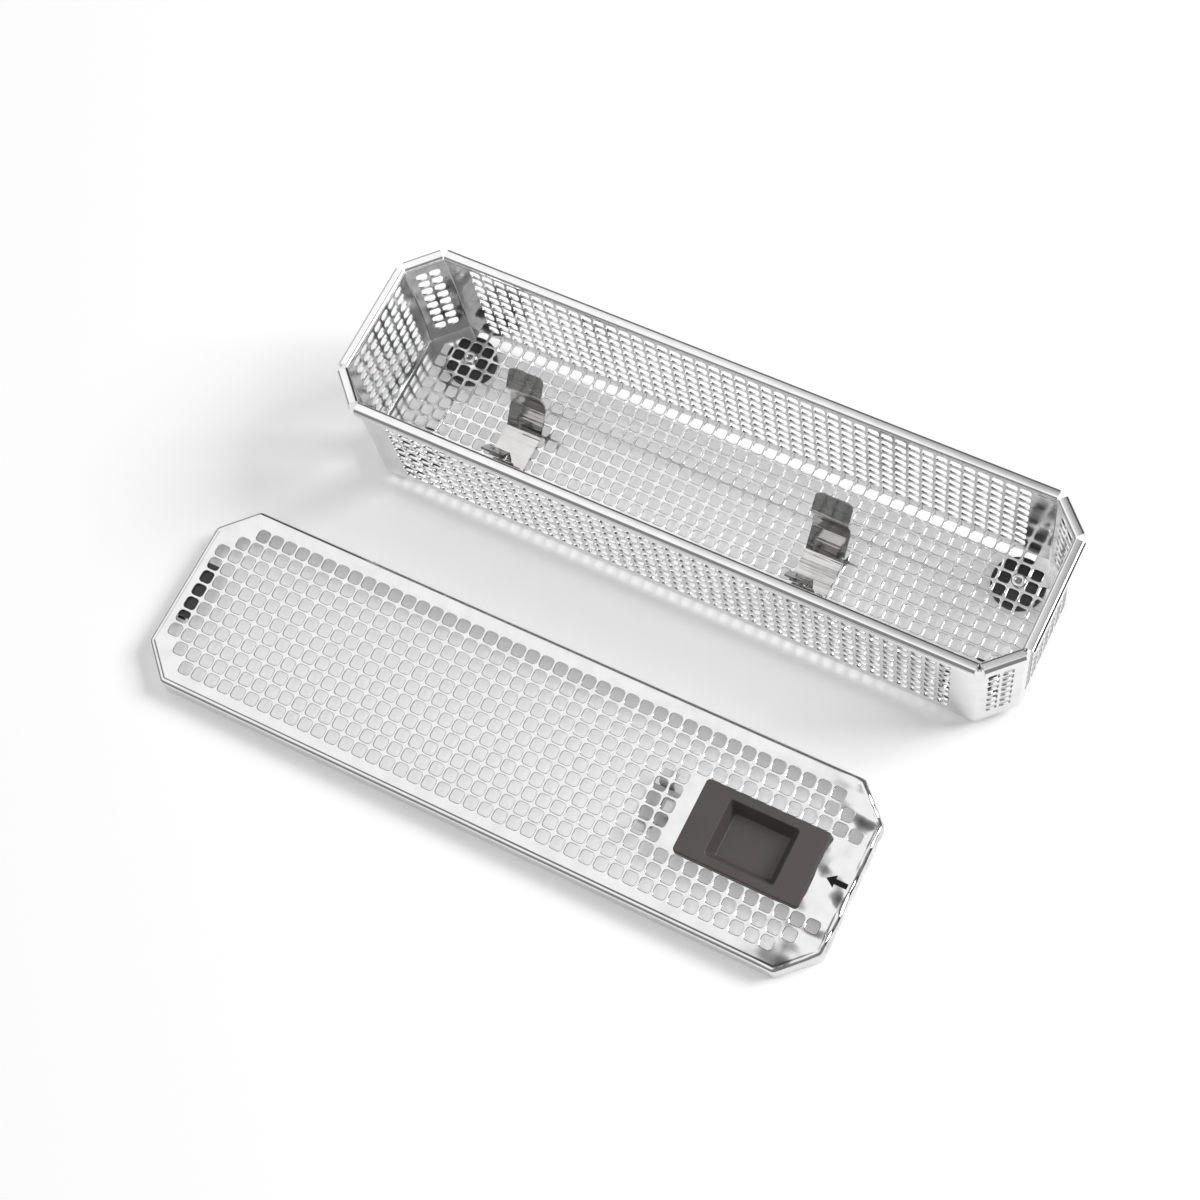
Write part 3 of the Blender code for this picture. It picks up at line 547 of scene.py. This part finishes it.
def polished(name, light, dark, gloss, ripple=(55.0, 0.035), streak=0.0, dented=None):
    """A polished metal with values of its own for the shared effect. Where it is dented, its
    ripples deepen between two places along the length."""
    finish, tree, shader = shader_of(name)
    effect = add(tree, "ShaderNodeGroup", {
        "Ripple Size": ripple[0], "Ripple Depth": ripple[1], "Streak Depth": streak,
        "Gloss Low": gloss[0], "Gloss High": gloss[1],
        "Light Tone": (*light, 1), "Dark Tone": (*dark, 1)}, node_tree=POLISH)
    if dented:
        length = add(tree, "ShaderNodeSeparateXYZ", {"Vector": own_place(tree)}).outputs["X"]
        limits = dict(zip(("From Min", "From Max", "To Min", "To Max"), dented))
        deepen = add(tree, "ShaderNodeMapRange", {"Value": length, **limits})
        tree.links.new(deepen.outputs["Result"], effect.inputs["Ripple Depth"])
    shader.inputs["Metallic"].default_value = 1.0
    connect(tree, shader, {"Base Color": effect.outputs["Tone"],
                           "Roughness": effect.outputs["Gloss"],
                           "Normal": effect.outputs["Normal"]})
    return finish


def moulded(name, tone, shade, roughness, speckle=2600.0, depth=0.15, sheen=0.5):
    """Moulded plastic or rubber: a fine pebbled skin and slightly uneven colour and gloss."""
    finish, tree, shader = shader_of(name)
    shader.inputs["Specular IOR Level"].default_value = sheen
    place = own_place(tree)
    pebble = noise(tree, place, speckle, 2.0)
    patch = noise(tree, place, 90.0, 5.0)
    spread = add(tree, "ShaderNodeMapRange", {"Value": patch, "To Min": roughness - 0.06,
                                              "To Max": roughness + 0.08})
    connect(tree, shader, {"Base Color": blended(tree, patch, (*tone, 1), (*shade, 1)),
                           "Roughness": spread.outputs["Result"],
                           "Normal": bumped(tree, pebble, depth, 0.00008)})
    return finish


SHEET_STEEL = polished("electropolished_sheet", (0.84, 0.84, 0.842), (0.70, 0.70, 0.703),
                       (0.08, 0.18))
LID_STEEL = polished("polished_lid_sheet", (0.78, 0.78, 0.782), (0.66, 0.66, 0.663), (0.08, 0.18),
                     ripple=(36.0, 0.05), dented=(0.104, 0.128, 0.05, 2.30))
HEM_STEEL = polished("polished_hem", (0.84, 0.84, 0.842), (0.74, 0.74, 0.743), (0.08, 0.15),
                     ripple=(40.0, 0.02))
SPRING_STEEL = polished("polished_spring_strip", (0.70, 0.69, 0.685), (0.54, 0.53, 0.525),
                        (0.06, 0.12), ripple=(70.0, 0.05), streak=0.22)
RIVET_STEEL = polished("bright_rivet", (0.82, 0.82, 0.825), (0.68, 0.68, 0.685), (0.12, 0.22))
# Fittings and coil under the lid: their tone is set darker than the sheet's. This is painted shade,
# so that they look as dark as the shaded table seen through the holes.
SHADE_PAINTED_STEEL = polished("fitting_steel_painted_shade", (0.68, 0.68, 0.685), (0.60, 0.60, 0.605), (0.50, 0.65))
DARK_PLASTIC = moulded("dark_moulded_plastic", (0.088, 0.074, 0.073), (0.076, 0.064, 0.063), 0.44,
                       sheen=0.4)
BLACK_RUBBER = moulded("black_foot_rubber", (0.020, 0.020, 0.021), (0.030, 0.030, 0.031), 0.50,
                       speckle=1500.0, depth=0.2)
HOOK_PLASTIC = moulded("black_moulded_plastic", (0.018, 0.017, 0.017), (0.028, 0.026, 0.026), 0.40,
                       speckle=2000.0)
ARROW_BLACK = moulded("black_marking", (0.006, 0.006, 0.006), (0.010, 0.010, 0.010), 0.60,
                      sheen=0.15)


def rivet_middles():
    """Where rivets pass through the floor, measured from the basket's middle."""
    foot_x, foot_y = FOOT_AT
    middles = [(-foot_x, -foot_y), (-foot_x, foot_y), (foot_x, -foot_y), (foot_x, foot_y)]
    y = CLIP_Y - CLIP_BACK + RIVET_FROM_BACK
    for x in CLIP_X:
        middles.append((x - CLIP_WIDTH / 2 + JAW_WIDTH / 2, y))
        middles.append((x + CLIP_WIDTH / 2 - RIVET_FROM_SIDE, y))
    return np.array(middles)


def tray_floor():
    """Perforated floor with its bend up into the walls: a quarter circle of insets and heights up
    the outer face, and another back down the inner one."""
    middles, _, _ = lattice(*FLOOR_HOLES, HOLE_PITCH)
    # The same growth of all three sizes leaves the slanted sides where they are
    slanted_only = tuple(size + 0.01 for size in TRAY)
    keep = fits_inside(middles, HOLE_SIZE / 2, TRAY, TRAY_BEND)
    keep &= fits_inside(middles, HOLE_SIZE / 2, slanted_only, TRAY_BEND + FLOOR_MARGIN)
    rivets = rivet_middles()
    for point in rivets:
        keep &= np.abs(middles - point).max(axis=1) > HOLE_SIZE / 2 + RIVET_HOLE
    openings = square_openings(middles[keep], HOLE_SIZE, HOLE_CORNER)
    openings += [ring(point, RIVET_HOLE) for point in rivets]
    flat = pierced_sheet(eight_sided(TRAY, TRAY_FOLD, TRAY_BEND), openings, rim=False)
    angle = np.linspace(0, math.pi / 2, 7)
    outer = TRAY_BEND * (1 - np.sin(angle)), TRAY_BEND * (1 - np.cos(angle))
    inner_radius = TRAY_BEND - SHEET
    inner = TRAY_BEND - inner_radius * np.sin(angle), TRAY_BEND - inner_radius * np.cos(angle)
    insets, heights = (np.concatenate([out, back[::-1]]) for out, back in zip(outer, inner))
    points, faces = carried_rings(TRAY, TRAY_FOLD, insets, heights)
    return joined([moved(flat, 0, 0, SHEET), (points, [faces[0][:, ::-1]])])


def side_frames():
    """For each of the eight sides: its number, middle, direction, normal and straight length."""
    centres = corner_centres(TRAY, TRAY_FOLD)
    for side in range(8):
        angle = side * math.pi / 4
        normal = np.array((math.cos(angle), math.sin(angle)))
        along = np.array((-normal[1], normal[0]))
        start = centres[side - 1] + TRAY_FOLD * normal
        end = centres[side] + TRAY_FOLD * normal
        yield side, (start + end) / 2, along, normal, float(np.linalg.norm(end - start))


def wall_panels():
    """Perforated flat wall of every side, between the bottom bend and the hem. In the right end
    wall, the three middle holes of the top row are one slot."""
    columns = {0: END_COLUMNS, 2: LONG_COLUMNS}
    sheets = []
    low, high = TRAY_BEND, HEM_SPRING - HEM_STEP
    for side, middle, along, normal, length in side_frames():
        rows = CORNER_ROWS if side % 2 else WALL_ROWS
        middles, _, row = lattice(columns.get(side % 4, CORNER_COLUMNS), rows, HOLE_PITCH)
        middles[:, 1] += FIELD_TOP - WALL_ROWS * HOLE_PITCH / 2
        openings = []
        if side == 0:
            slotted = (np.abs(middles[:, 0]) < 1.5 * HOLE_PITCH) & (row == rows - 1)
            slot = rounded_square(HOLE_SIZE, HOLE_CORNER)
            slot[:, 0] += np.sign(slot[:, 0]) * HOLE_PITCH
            openings.append(slot + np.array((0.0, middles[slotted][0, 1])))
            middles = middles[~slotted]
        openings += square_openings(middles, HOLE_SIZE, HOLE_CORNER)
        half = length / 2
        outline = np.array([(-half, low), (half, low), (half, high), (-half, high)])
        sheet = pierced_sheet(outline, openings, rim=(True, False, True, False))
        sheets.append(stood(sheet, (*middle, 0), (*along, 0), (0, 0, 1), (*normal, 0)))
    return joined(sheets)


def upright_folds():
    """Rounded folds between the walls: the corner arcs of the outline, stood from bend to hem."""
    low, high = TRAY_BEND, HEM_SPRING - HEM_STEP
    sheets = []
    outer = eight_sided(TRAY, TRAY_FOLD).reshape(8, -1, 2)
    inner = eight_sided(TRAY, TRAY_FOLD, SHEET).reshape(8, -1, 2)
    for out, back in zip(outer, inner):
        count = len(out)
        loop = np.concatenate([out, back[::-1]])
        points = np.concatenate([np.column_stack([loop, np.full(2 * count, height)])
                                 for height in (low, high)])
        sides, foot, head = strip_faces(count)
        sides = np.delete(sides, (count - 1, 2 * count - 1), axis=0)
        sheets.append((points, [sides, foot, head]))
    return joined(sheets)


def hems():
    """Rolled hem of every side: a band that steps inwards from the wall, turns outwards over a
    nearly flat top, rolls down and ends in a short lip, carried along the side and closed at both
    cut ends. The step is half a cosine wave."""
    start = -SHEET / 2
    inside, outside = start - HEM_INSET, start - HEM_INSET + 2 * HEM_RADIUS - SHEET
    crest = TRAY_HEIGHT - SHEET / 2
    share = np.linspace(0, 1, 9)[:-1]
    step = np.column_stack([start - HEM_INSET * (1 - np.cos(share * math.pi)) / 2,
                            HEM_SPRING - HEM_STEP * (1 - share)])
    turns = bent_path([(inside, HEM_SPRING), (inside, crest - HEM_CROWN),
                       (outside - HEM_CORNER, crest), (outside, crest - HEM_CORNER),
                       (outside, HEM_SPRING - HEM_DROP)], HEM_TURN, 8)
    path = np.concatenate([step, turns])
    left, right = band_lines(path, SHEET)
    left[0], right[0] = (start - SHEET / 2, path[0, 1]), (start + SHEET / 2, path[0, 1])
    section = np.concatenate([left, right[::-1]])
    faces = list(strip_faces(len(left)))
    sheets = []
    for _, middle, along, normal, length in side_frames():
        half = length / 2 - HEM_CUT
        points = np.concatenate([np.column_stack([np.full(len(section), u), section])
                                 for u in (-half, half)])
        flat = points[:, :1] * along + points[:, 1:2] * normal + middle
        sheets.append((np.column_stack([flat, points[:, 2]]), faces))
    return joined(sheets)


def tray():
    """The folded box: floor with its bend, walls, folds and hems."""
    x, y = BASKET
    names = ["long_wall_near", "long_wall_far", "end_wall_left", "end_wall_right"]
    names += [f"corner_panel_{depth}_{side}"
              for depth in ("near", "far") for side in ("left", "right")]
    piece("tray_floor_sheet", moved(tray_floor(), x, y, FLOOR_UNDER), SHEET_STEEL, ["tray_floor"],
          crease=20)
    walls = joined([wall_panels(), upright_folds()])
    piece("tray_wall_sheets", moved(walls, x, y, FLOOR_UNDER), SHEET_STEEL, names,
          crease=20)
    piece("tray_rolled_hems", moved(hems(), x, y, FLOOR_UNDER), HEM_STEEL, names)


def rivet_surface(centre, head_under, tail_over, tail_under):
    """Tubular rivet: a domed ring with a bore for its head, a shank, and a rolled ring below."""
    shank, flange, bore = 0.0015, 0.0026, 0.0009
    profile = np.concatenate([
        arc((0.0016, head_under + 0.0006), 0.0007, 180, 90, 5),
        arc((0.0021, head_under + 0.0004), 0.0009, 90, -20, 7),
        [(shank, head_under), (shank, tail_over), (flange, tail_over)],
        arc((0.0022, tail_over - 0.0003), 0.0004, 0, -90, 4), [(bore, tail_under)]])
    return turned_round(profile[::-1], centre, 28)


def feet():
    """Rubber discs with rounded rims and a recess below, each under a bright rivet."""
    top, upper_edge, lower_edge = FLOOR_UNDER - SEAT_GAP, 0.0005, 0.0008
    mouth, recess, mouth_height = 0.0042, 0.0040, 0.0002
    profile = np.concatenate([
        [(RIVET_HOLE, top)],
        arc((FOOT_RADIUS - upper_edge, top - upper_edge), upper_edge, 90, 0, 5),
        arc((FOOT_RADIUS - lower_edge, lower_edge), lower_edge, 0, -90, 6),
        [(mouth, 0), (recess, mouth_height), (recess, FOOT_HOLLOW), (RIVET_HOLE, FOOT_HOLLOW)]])
    for side_y, depth in ((-1, "near"), (1, "far")):
        for side_x, side in ((-1, "left"), (1, "right")):
            centre = BASKET + np.array((side_x * FOOT_AT[0], side_y * FOOT_AT[1]))
            name = f"{depth}_{side}"
            piece("foot_disc_" + name, turned_round(profile[::-1], centre, 64), BLACK_RUBBER,
                  ["foot_" + name])
            rivet = rivet_surface(centre, FLOOR_TOP, FOOT_HOLLOW, FOOT_RIVET_END)
            piece("foot_rivet_ring_" + name, rivet, RIVET_STEEL, ["foot_rivet_" + name])


def clips():
    """Spring clips: a wavy leaf whose base runs along the floor, and a short flared jaw. The
    leaf's tip has round corners: near its end the width follows a quarter circle."""
    base = FLOOR_TOP + CLIP_GAP + SHEET / 2
    foot = base + SHEET + CLIP_GAP
    corners = [(-CLIP_BACK, 0)] + [(u * CLIP_LEAN, v * CLIP_RISE) for u, v in CLIP_WAVE]
    path, travelled = evenly(bent_path(corners, STRIP_BEND), STRIP_STEP)
    short = np.clip(TIP_CORNER - (travelled[-1] - travelled), 0, TIP_CORNER)
    half = CLIP_WIDTH / 2 - TIP_CORNER + np.sqrt(np.maximum(TIP_CORNER ** 2 - short ** 2, 0))
    leaf = wide_band(path + np.array((0, base)), half, SHEET)
    path, _ = evenly(bent_path(JAW_PATH, STRIP_BEND), STRIP_STEP)
    jaw = wide_band(path + np.array((0, foot)), np.full(len(path), JAW_WIDTH / 2), SHEET)
    y = BASKET[1] + CLIP_Y
    rivet_y = y - CLIP_BACK + RIVET_FROM_BACK
    for side, x in zip(("left", "right"), CLIP_X):
        piece(f"clip_{side}_leaf", moved(leaf, BASKET[0] + x, y), SPRING_STEEL,
              [f"clip_{side}_spring"])
        jaw_x = x - CLIP_WIDTH / 2 + JAW_WIDTH / 2
        piece(f"clip_{side}_lip", moved(jaw, BASKET[0] + jaw_x, y), SPRING_STEEL,
              [f"clip_{side}_jaw"])
        for part, rivet_x, under in (
                ("jaw", jaw_x, foot + SHEET / 2),
                ("side", x + CLIP_WIDTH / 2 - RIVET_FROM_SIDE, base + SHEET / 2)):
            centre = (BASKET[0] + rivet_x, rivet_y)
            rivet = rivet_surface(centre, under, FLOOR_UNDER, FLOOR_UNDER - RIVET_REACH)
            piece(f"clip_{side}_{part}_ring", rivet, RIVET_STEEL, [f"clip_{side}_rivet_{part}"])


def lid_sheet():
    """Perforated lid: flat top with its slot, a low bead that rises along the edge by half a cosine
    wave, a quarter-round bend, and an upright skirt. Three holes are left out at each corner, and a
    block of them round the slider and the arrow."""
    middles, column, row = lattice(*LID_HOLES, LID_PITCH)
    keep = np.ones(len(middles), bool)
    for along in (column, LID_HOLES[0] - 1 - column):
        for across in (row, LID_HOLES[1] - 1 - row):
            keep &= along + across >= LID_HOLE_STEPS
    keep &= ~((column >= BARE_COLUMN) & (row >= BARE_ROWS[0]) & (row <= BARE_ROWS[1]))
    openings = square_openings(middles[keep], LID_HOLE, LID_CORNER)
    left, right, half = SLOT
    openings.append(np.array([(left, -half), (right, -half), (right, half), (left, half)]))
    flat = pierced_sheet(eight_sided(LID_SHAPE, LID_FOLD, LID_BEAD), openings, rim=False)
    angle = np.linspace(0, math.pi / 2, 9)
    share = np.linspace(0, 1, 7)[:-1]
    inner = LID_BEND - SHEET
    rise_inset = LID_BEAD + (LID_BEND - LID_BEAD) * share
    rise = BEAD_HEIGHT * (1 - np.cos(share * math.pi)) / 2
    crest = BEAD_HEIGHT - LID_BEND
    bottom = [LID_CHAMFER - LID_TOP, -LID_TOP]
    insets = [rise_inset, LID_BEND * (1 - np.sin(angle)), [0.0, LID_CHAMFER]]
    heights = [rise, BEAD_HEIGHT - LID_BEND * (1 - np.cos(angle)), bottom]
    back_insets = [rise_inset, LID_BEND - inner * np.sin(angle), [SHEET, SHEET - LID_CHAMFER]]
    back_heights = [rise - SHEET, crest + inner * np.cos(angle), bottom]
    insets, heights, back_insets, back_heights = (
        np.concatenate(runs) for runs in (insets, heights, back_insets, back_heights))
    skirt = carried_rings(LID_SHAPE, LID_FOLD, np.concatenate([insets, back_insets[::-1]]),
                          np.concatenate([heights, back_heights[::-1]]))
    return joined([flat, skirt])


def rounded_block(stations):
    """Rounded rectangles joined one to the next. Each station is half length, half width, corner
    radius and height, and every ring has the same number of points."""
    angle = np.linspace(0, math.pi / 2, 7)
    quarter = np.arange(4)[:, None] * math.pi / 2
    sign_x = np.array((1, -1, -1, 1))[:, None]
    sign_y = np.array((1, 1, -1, -1))[:, None]
    rings = []
    for half_x, half_y, radius, height in stations:
        x = sign_x * (half_x - radius) + radius * np.cos(quarter + angle)
        y = sign_y * (half_y - radius) + radius * np.sin(quarter + angle)
        rings.append(np.column_stack([x.ravel(), y.ravel(), np.full(x.size, height)]))
    count = rings[0].shape[0]
    top, bottom = np.arange(count) + (len(rings) - 1) * count, np.arange(count)[::-1]
    sides = ring_faces(len(rings), count)[:, ::-1]
    return np.concatenate(rings), [sides, top[None, :], bottom[None, :]]


def slider():
    """Finger piece of the latch: cap with rounded edges, well below it, sloping finger recess."""
    half_x, half_y = SLIDER_SIZE[0] / 2, SLIDER_SIZE[1] / 2
    under = LID_TOP + SEAT_GAP
    top = under + SLIDER_HEIGHT
    well_x, well_y, well_corner, well_edge, bottom = 0.0170, 0.0123, 0.0013, 0.0004, 0.0032
    cap_corner, cap_edge, edge = 0.0016, 0.0002, 0.0007
    stations = [(well_x - well_edge, well_y - well_edge, 0.0010, bottom),
                (well_x, well_y, well_corner, bottom + well_edge),
                (well_x, well_y, well_corner, under),
                (half_x - cap_edge, half_y - cap_edge, 0.0014, under),
                (half_x, half_y, cap_corner, under + cap_edge)]
    for angle in np.radians(np.linspace(0, 90, 6)):
        inset = edge * (1 - math.cos(angle))
        stations.append((half_x - inset, half_y - inset, cap_corner - inset,
                         top - edge + edge * math.sin(angle)))
    lip, lip_corner = 0.0005, 0.0012
    for angle in np.radians(np.linspace(0, 65, 5)):
        out = lip - lip * math.sin(angle)
        stations.append((RECESS[0] / 2 + out, RECESS[1] / 2 + out, lip_corner,
                         top - lip + lip * math.cos(angle)))
    foot, foot_corner = 0.0008, 0.0010
    for angle in np.radians(np.linspace(65, 0, 6)):
        out = foot - foot * (1 - math.sin(angle)) - RECESS_SLOPE
        stations.append((RECESS[0] / 2 + out, RECESS[1] / 2 + out, foot_corner,
                         RECESS_FLOOR + foot * (1 - math.cos(angle))))
    return rounded_block(stations)


def arrow():
    """Flat arrow that points the way the latch slides: a triangle and a short shaft, each of them
    a thin prism."""
    tip, back, tail = 0.1341, 0.1376, 0.1424
    head_half, shaft_half, thickness = 0.0025, 0.00105, 0.00003
    head = np.array([(tip, 0), (back, -head_half), (back, head_half)])
    shaft = np.array([(back, -shaft_half), (tail, -shaft_half), (tail, shaft_half),
                      (back, shaft_half)])
    return joined([pierced_sheet(part, [], thickness) for part in (head, shaft)])


def lid():
    """The lid with its slider and marking."""
    x, y = LID
    piece("lid_pressed_sheet", moved(lid_sheet(), x, y, LID_TOP), LID_STEEL,
          ["lid_plate", "lid_skirt"], crease=20)
    piece("latch_finger_piece", moved(slider(), x + SLIDER_X, y), DARK_PLASTIC, ["latch_slider"],
          body=SLIDING, crease=50)
    piece("lid_arrow", moved(arrow(), x, y, LID_TOP + ARROW_LIFT), ARROW_BLACK)


def latch_coil():
    """Spring of the latch: a coil as long and as wide as the model's spring."""
    low, high = (np.array(corner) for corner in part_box("latch_spring"))
    middle, length = (low + high) / 2, high[0] - low[0]
    start = (low[0] + COIL_WIRE, middle[1], middle[2])
    radius = (high[1] - low[1]) / 2 - COIL_WIRE
    surface = coil(start, length - 2 * COIL_WIRE, radius, COIL_WIRE, COIL_TURNS)
    thing = piece("latch_coil", surface, SHADE_PAINTED_STEEL, ["latch_spring"])
    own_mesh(thing)


def dress_nodes():
    """Finishes of the solids that stay in view; the fittings under the lid take the steel whose
    darker tone is painted shade.
    """
    fittings = ("latch_guide_inner", "latch_guide_outer", "latch_spring_bracket", "latch_tongue")
    screws = ("latch_screw_inner", "latch_screw_outer")
    for finish, names in ((HOOK_PLASTIC, ("lid_hook",)), (SHADE_PAINTED_STEEL, fittings),
                          (RIVET_STEEL, screws)):
        for name in names:
            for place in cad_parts[name].material_slots:
                place.material = finish


def table():
    """White table that keeps the shadows and shows as white between them."""
    mesh = bpy.data.meshes.new("table")
    half, glow_level = 3.0, 0.19
    corners = [(-half, -half, 0), (half, -half, 0), (half, half, 0), (-half, half, 0)]
    mesh.from_pydata(corners, [], [(0, 1, 2, 3)])
    thing = bpy.data.objects.new("table", mesh)
    bpy.context.scene.collection.objects.link(thing)
    finish, tree, shader = shader_of("white_table")
    shader.inputs["Base Color"].default_value = (0.90, 0.90, 0.90, 1)
    shader.inputs["Roughness"].default_value = 0.9
    shader.inputs["Specular IOR Level"].default_value = 0.0
    path = add(tree, "ShaderNodeLightPath").outputs
    seen = add(tree, "ShaderNodeMath", {0: path["Is Camera Ray"], 1: path["Is Glossy Ray"]},
               operation="MAXIMUM")
    glow = add(tree, "ShaderNodeMath", {0: seen.outputs[0], 1: glow_level}, operation="MULTIPLY")
    shader.inputs["Emission Color"].default_value = (1, 1, 1, 1)
    connect(tree, shader, {"Emission Strength": glow.outputs[0]})
    mesh.materials.append(finish)


def sky():
    """Soft studio surroundings: a broad white patch overhead and to the left, from which the light
    falls off to a dim horizon and, past a slanting edge, to a dim far right. Each fall-off is a
    ramp over how far a direction points along an axis."""
    overhead, rightward = (-0.35, 0.10, 0.931), (0.50, 1.00, 0.0)
    falls = {overhead: ((0.0, 0.22), (0.70, 0.24), (0.80, 0.46), (0.88, 0.88), (0.93, 1.0)),
             rightward: ((0.0, 1.0), (0.19, 1.0), (0.27, 0.66), (0.36, 0.32), (0.60, 0.20))}
    world = bpy.data.worlds.new("studio")
    bpy.context.scene.world = world
    world.use_nodes = True
    tree = world.node_tree
    tree.nodes.clear()
    where = add(tree, "ShaderNodeTexCoord").outputs["Generated"]
    levels = []
    for axis, steps in falls.items():
        angle = add(tree, "ShaderNodeVectorMath", {0: where, 1: axis}, operation="DOT_PRODUCT")
        ramp = add(tree, "ShaderNodeValToRGB", {"Fac": angle.outputs["Value"]})
        marks = ramp.color_ramp.elements
        while len(marks) < len(steps):
            marks.new(0.5)
        for mark, (place, level) in zip(marks, steps):
            mark.position = place
            mark.color = (level, level, level, 1)
        levels.append(ramp.outputs["Color"])
    both = blended(tree, 1.0, *levels, blend_type="MULTIPLY")
    light = add(tree, "ShaderNodeBackground", {"Color": both, "Strength": 1.20})
    white = add(tree, "ShaderNodeBackground", {"Color": (1, 1, 1, 1)})
    seen = add(tree, "ShaderNodeLightPath").outputs["Is Camera Ray"]
    mix = add(tree, "ShaderNodeMixShader", {"Fac": seen, 1: light.outputs[0], 2: white.outputs[0]})
    add(tree, "ShaderNodeOutputWorld", {"Surface": mix.outputs[0]})


def lamp(name, at, aim, size, power):
    """A large soft lamp aimed at a point."""
    data = bpy.data.lights.new(name, "AREA")
    data.shape = "RECTANGLE"
    data.size, data.size_y = size
    data.energy = power
    thing = bpy.data.objects.new(name, data)
    bpy.context.scene.collection.objects.link(thing)
    thing.location = at
    thing.rotation_euler = (Vector(aim) - Vector(at)).to_track_quat("-Z", "Y").to_euler()


def camera():
    """Camera at the photograph's angle: its right, down and forward directions, its place measured
    from the middle of the lid's top, and its focal length in pixels of a picture 1200 wide."""
    right = (0.881888, 0.454318, -0.125973)
    down = (0.382651, -0.845832, -0.371680)
    forward = (-0.275413, 0.279577, -0.919774)
    place = (0.241017 + LID[0], -0.172746 + LID[1], 0.771787 + LID_TOP)
    data = bpy.data.cameras.new("camera")
    data.sensor_width = 36.0
    focal, picture = 2189.618, 1200
    data.lens = focal / picture * data.sensor_width
    data.clip_start = 0.01
    thing = bpy.data.objects.new("camera", data)
    bpy.context.scene.collection.objects.link(thing)
    rows = [(right[i], -down[i], -forward[i], place[i]) for i in range(3)]
    thing.matrix_world = Matrix(rows + [(0, 0, 0, 1)])
    bpy.context.scene.camera = thing


tray()
feet()
clips()
lid()
latch_coil()
dress_nodes()
table()
sky()
lamp("key", at=(1.90, 1.55, 1.95), aim=(0, 0, 0), size=(1.4, 1.4), power=84.0)
camera()
bpy.context.scene.view_settings.view_transform = "Standard"
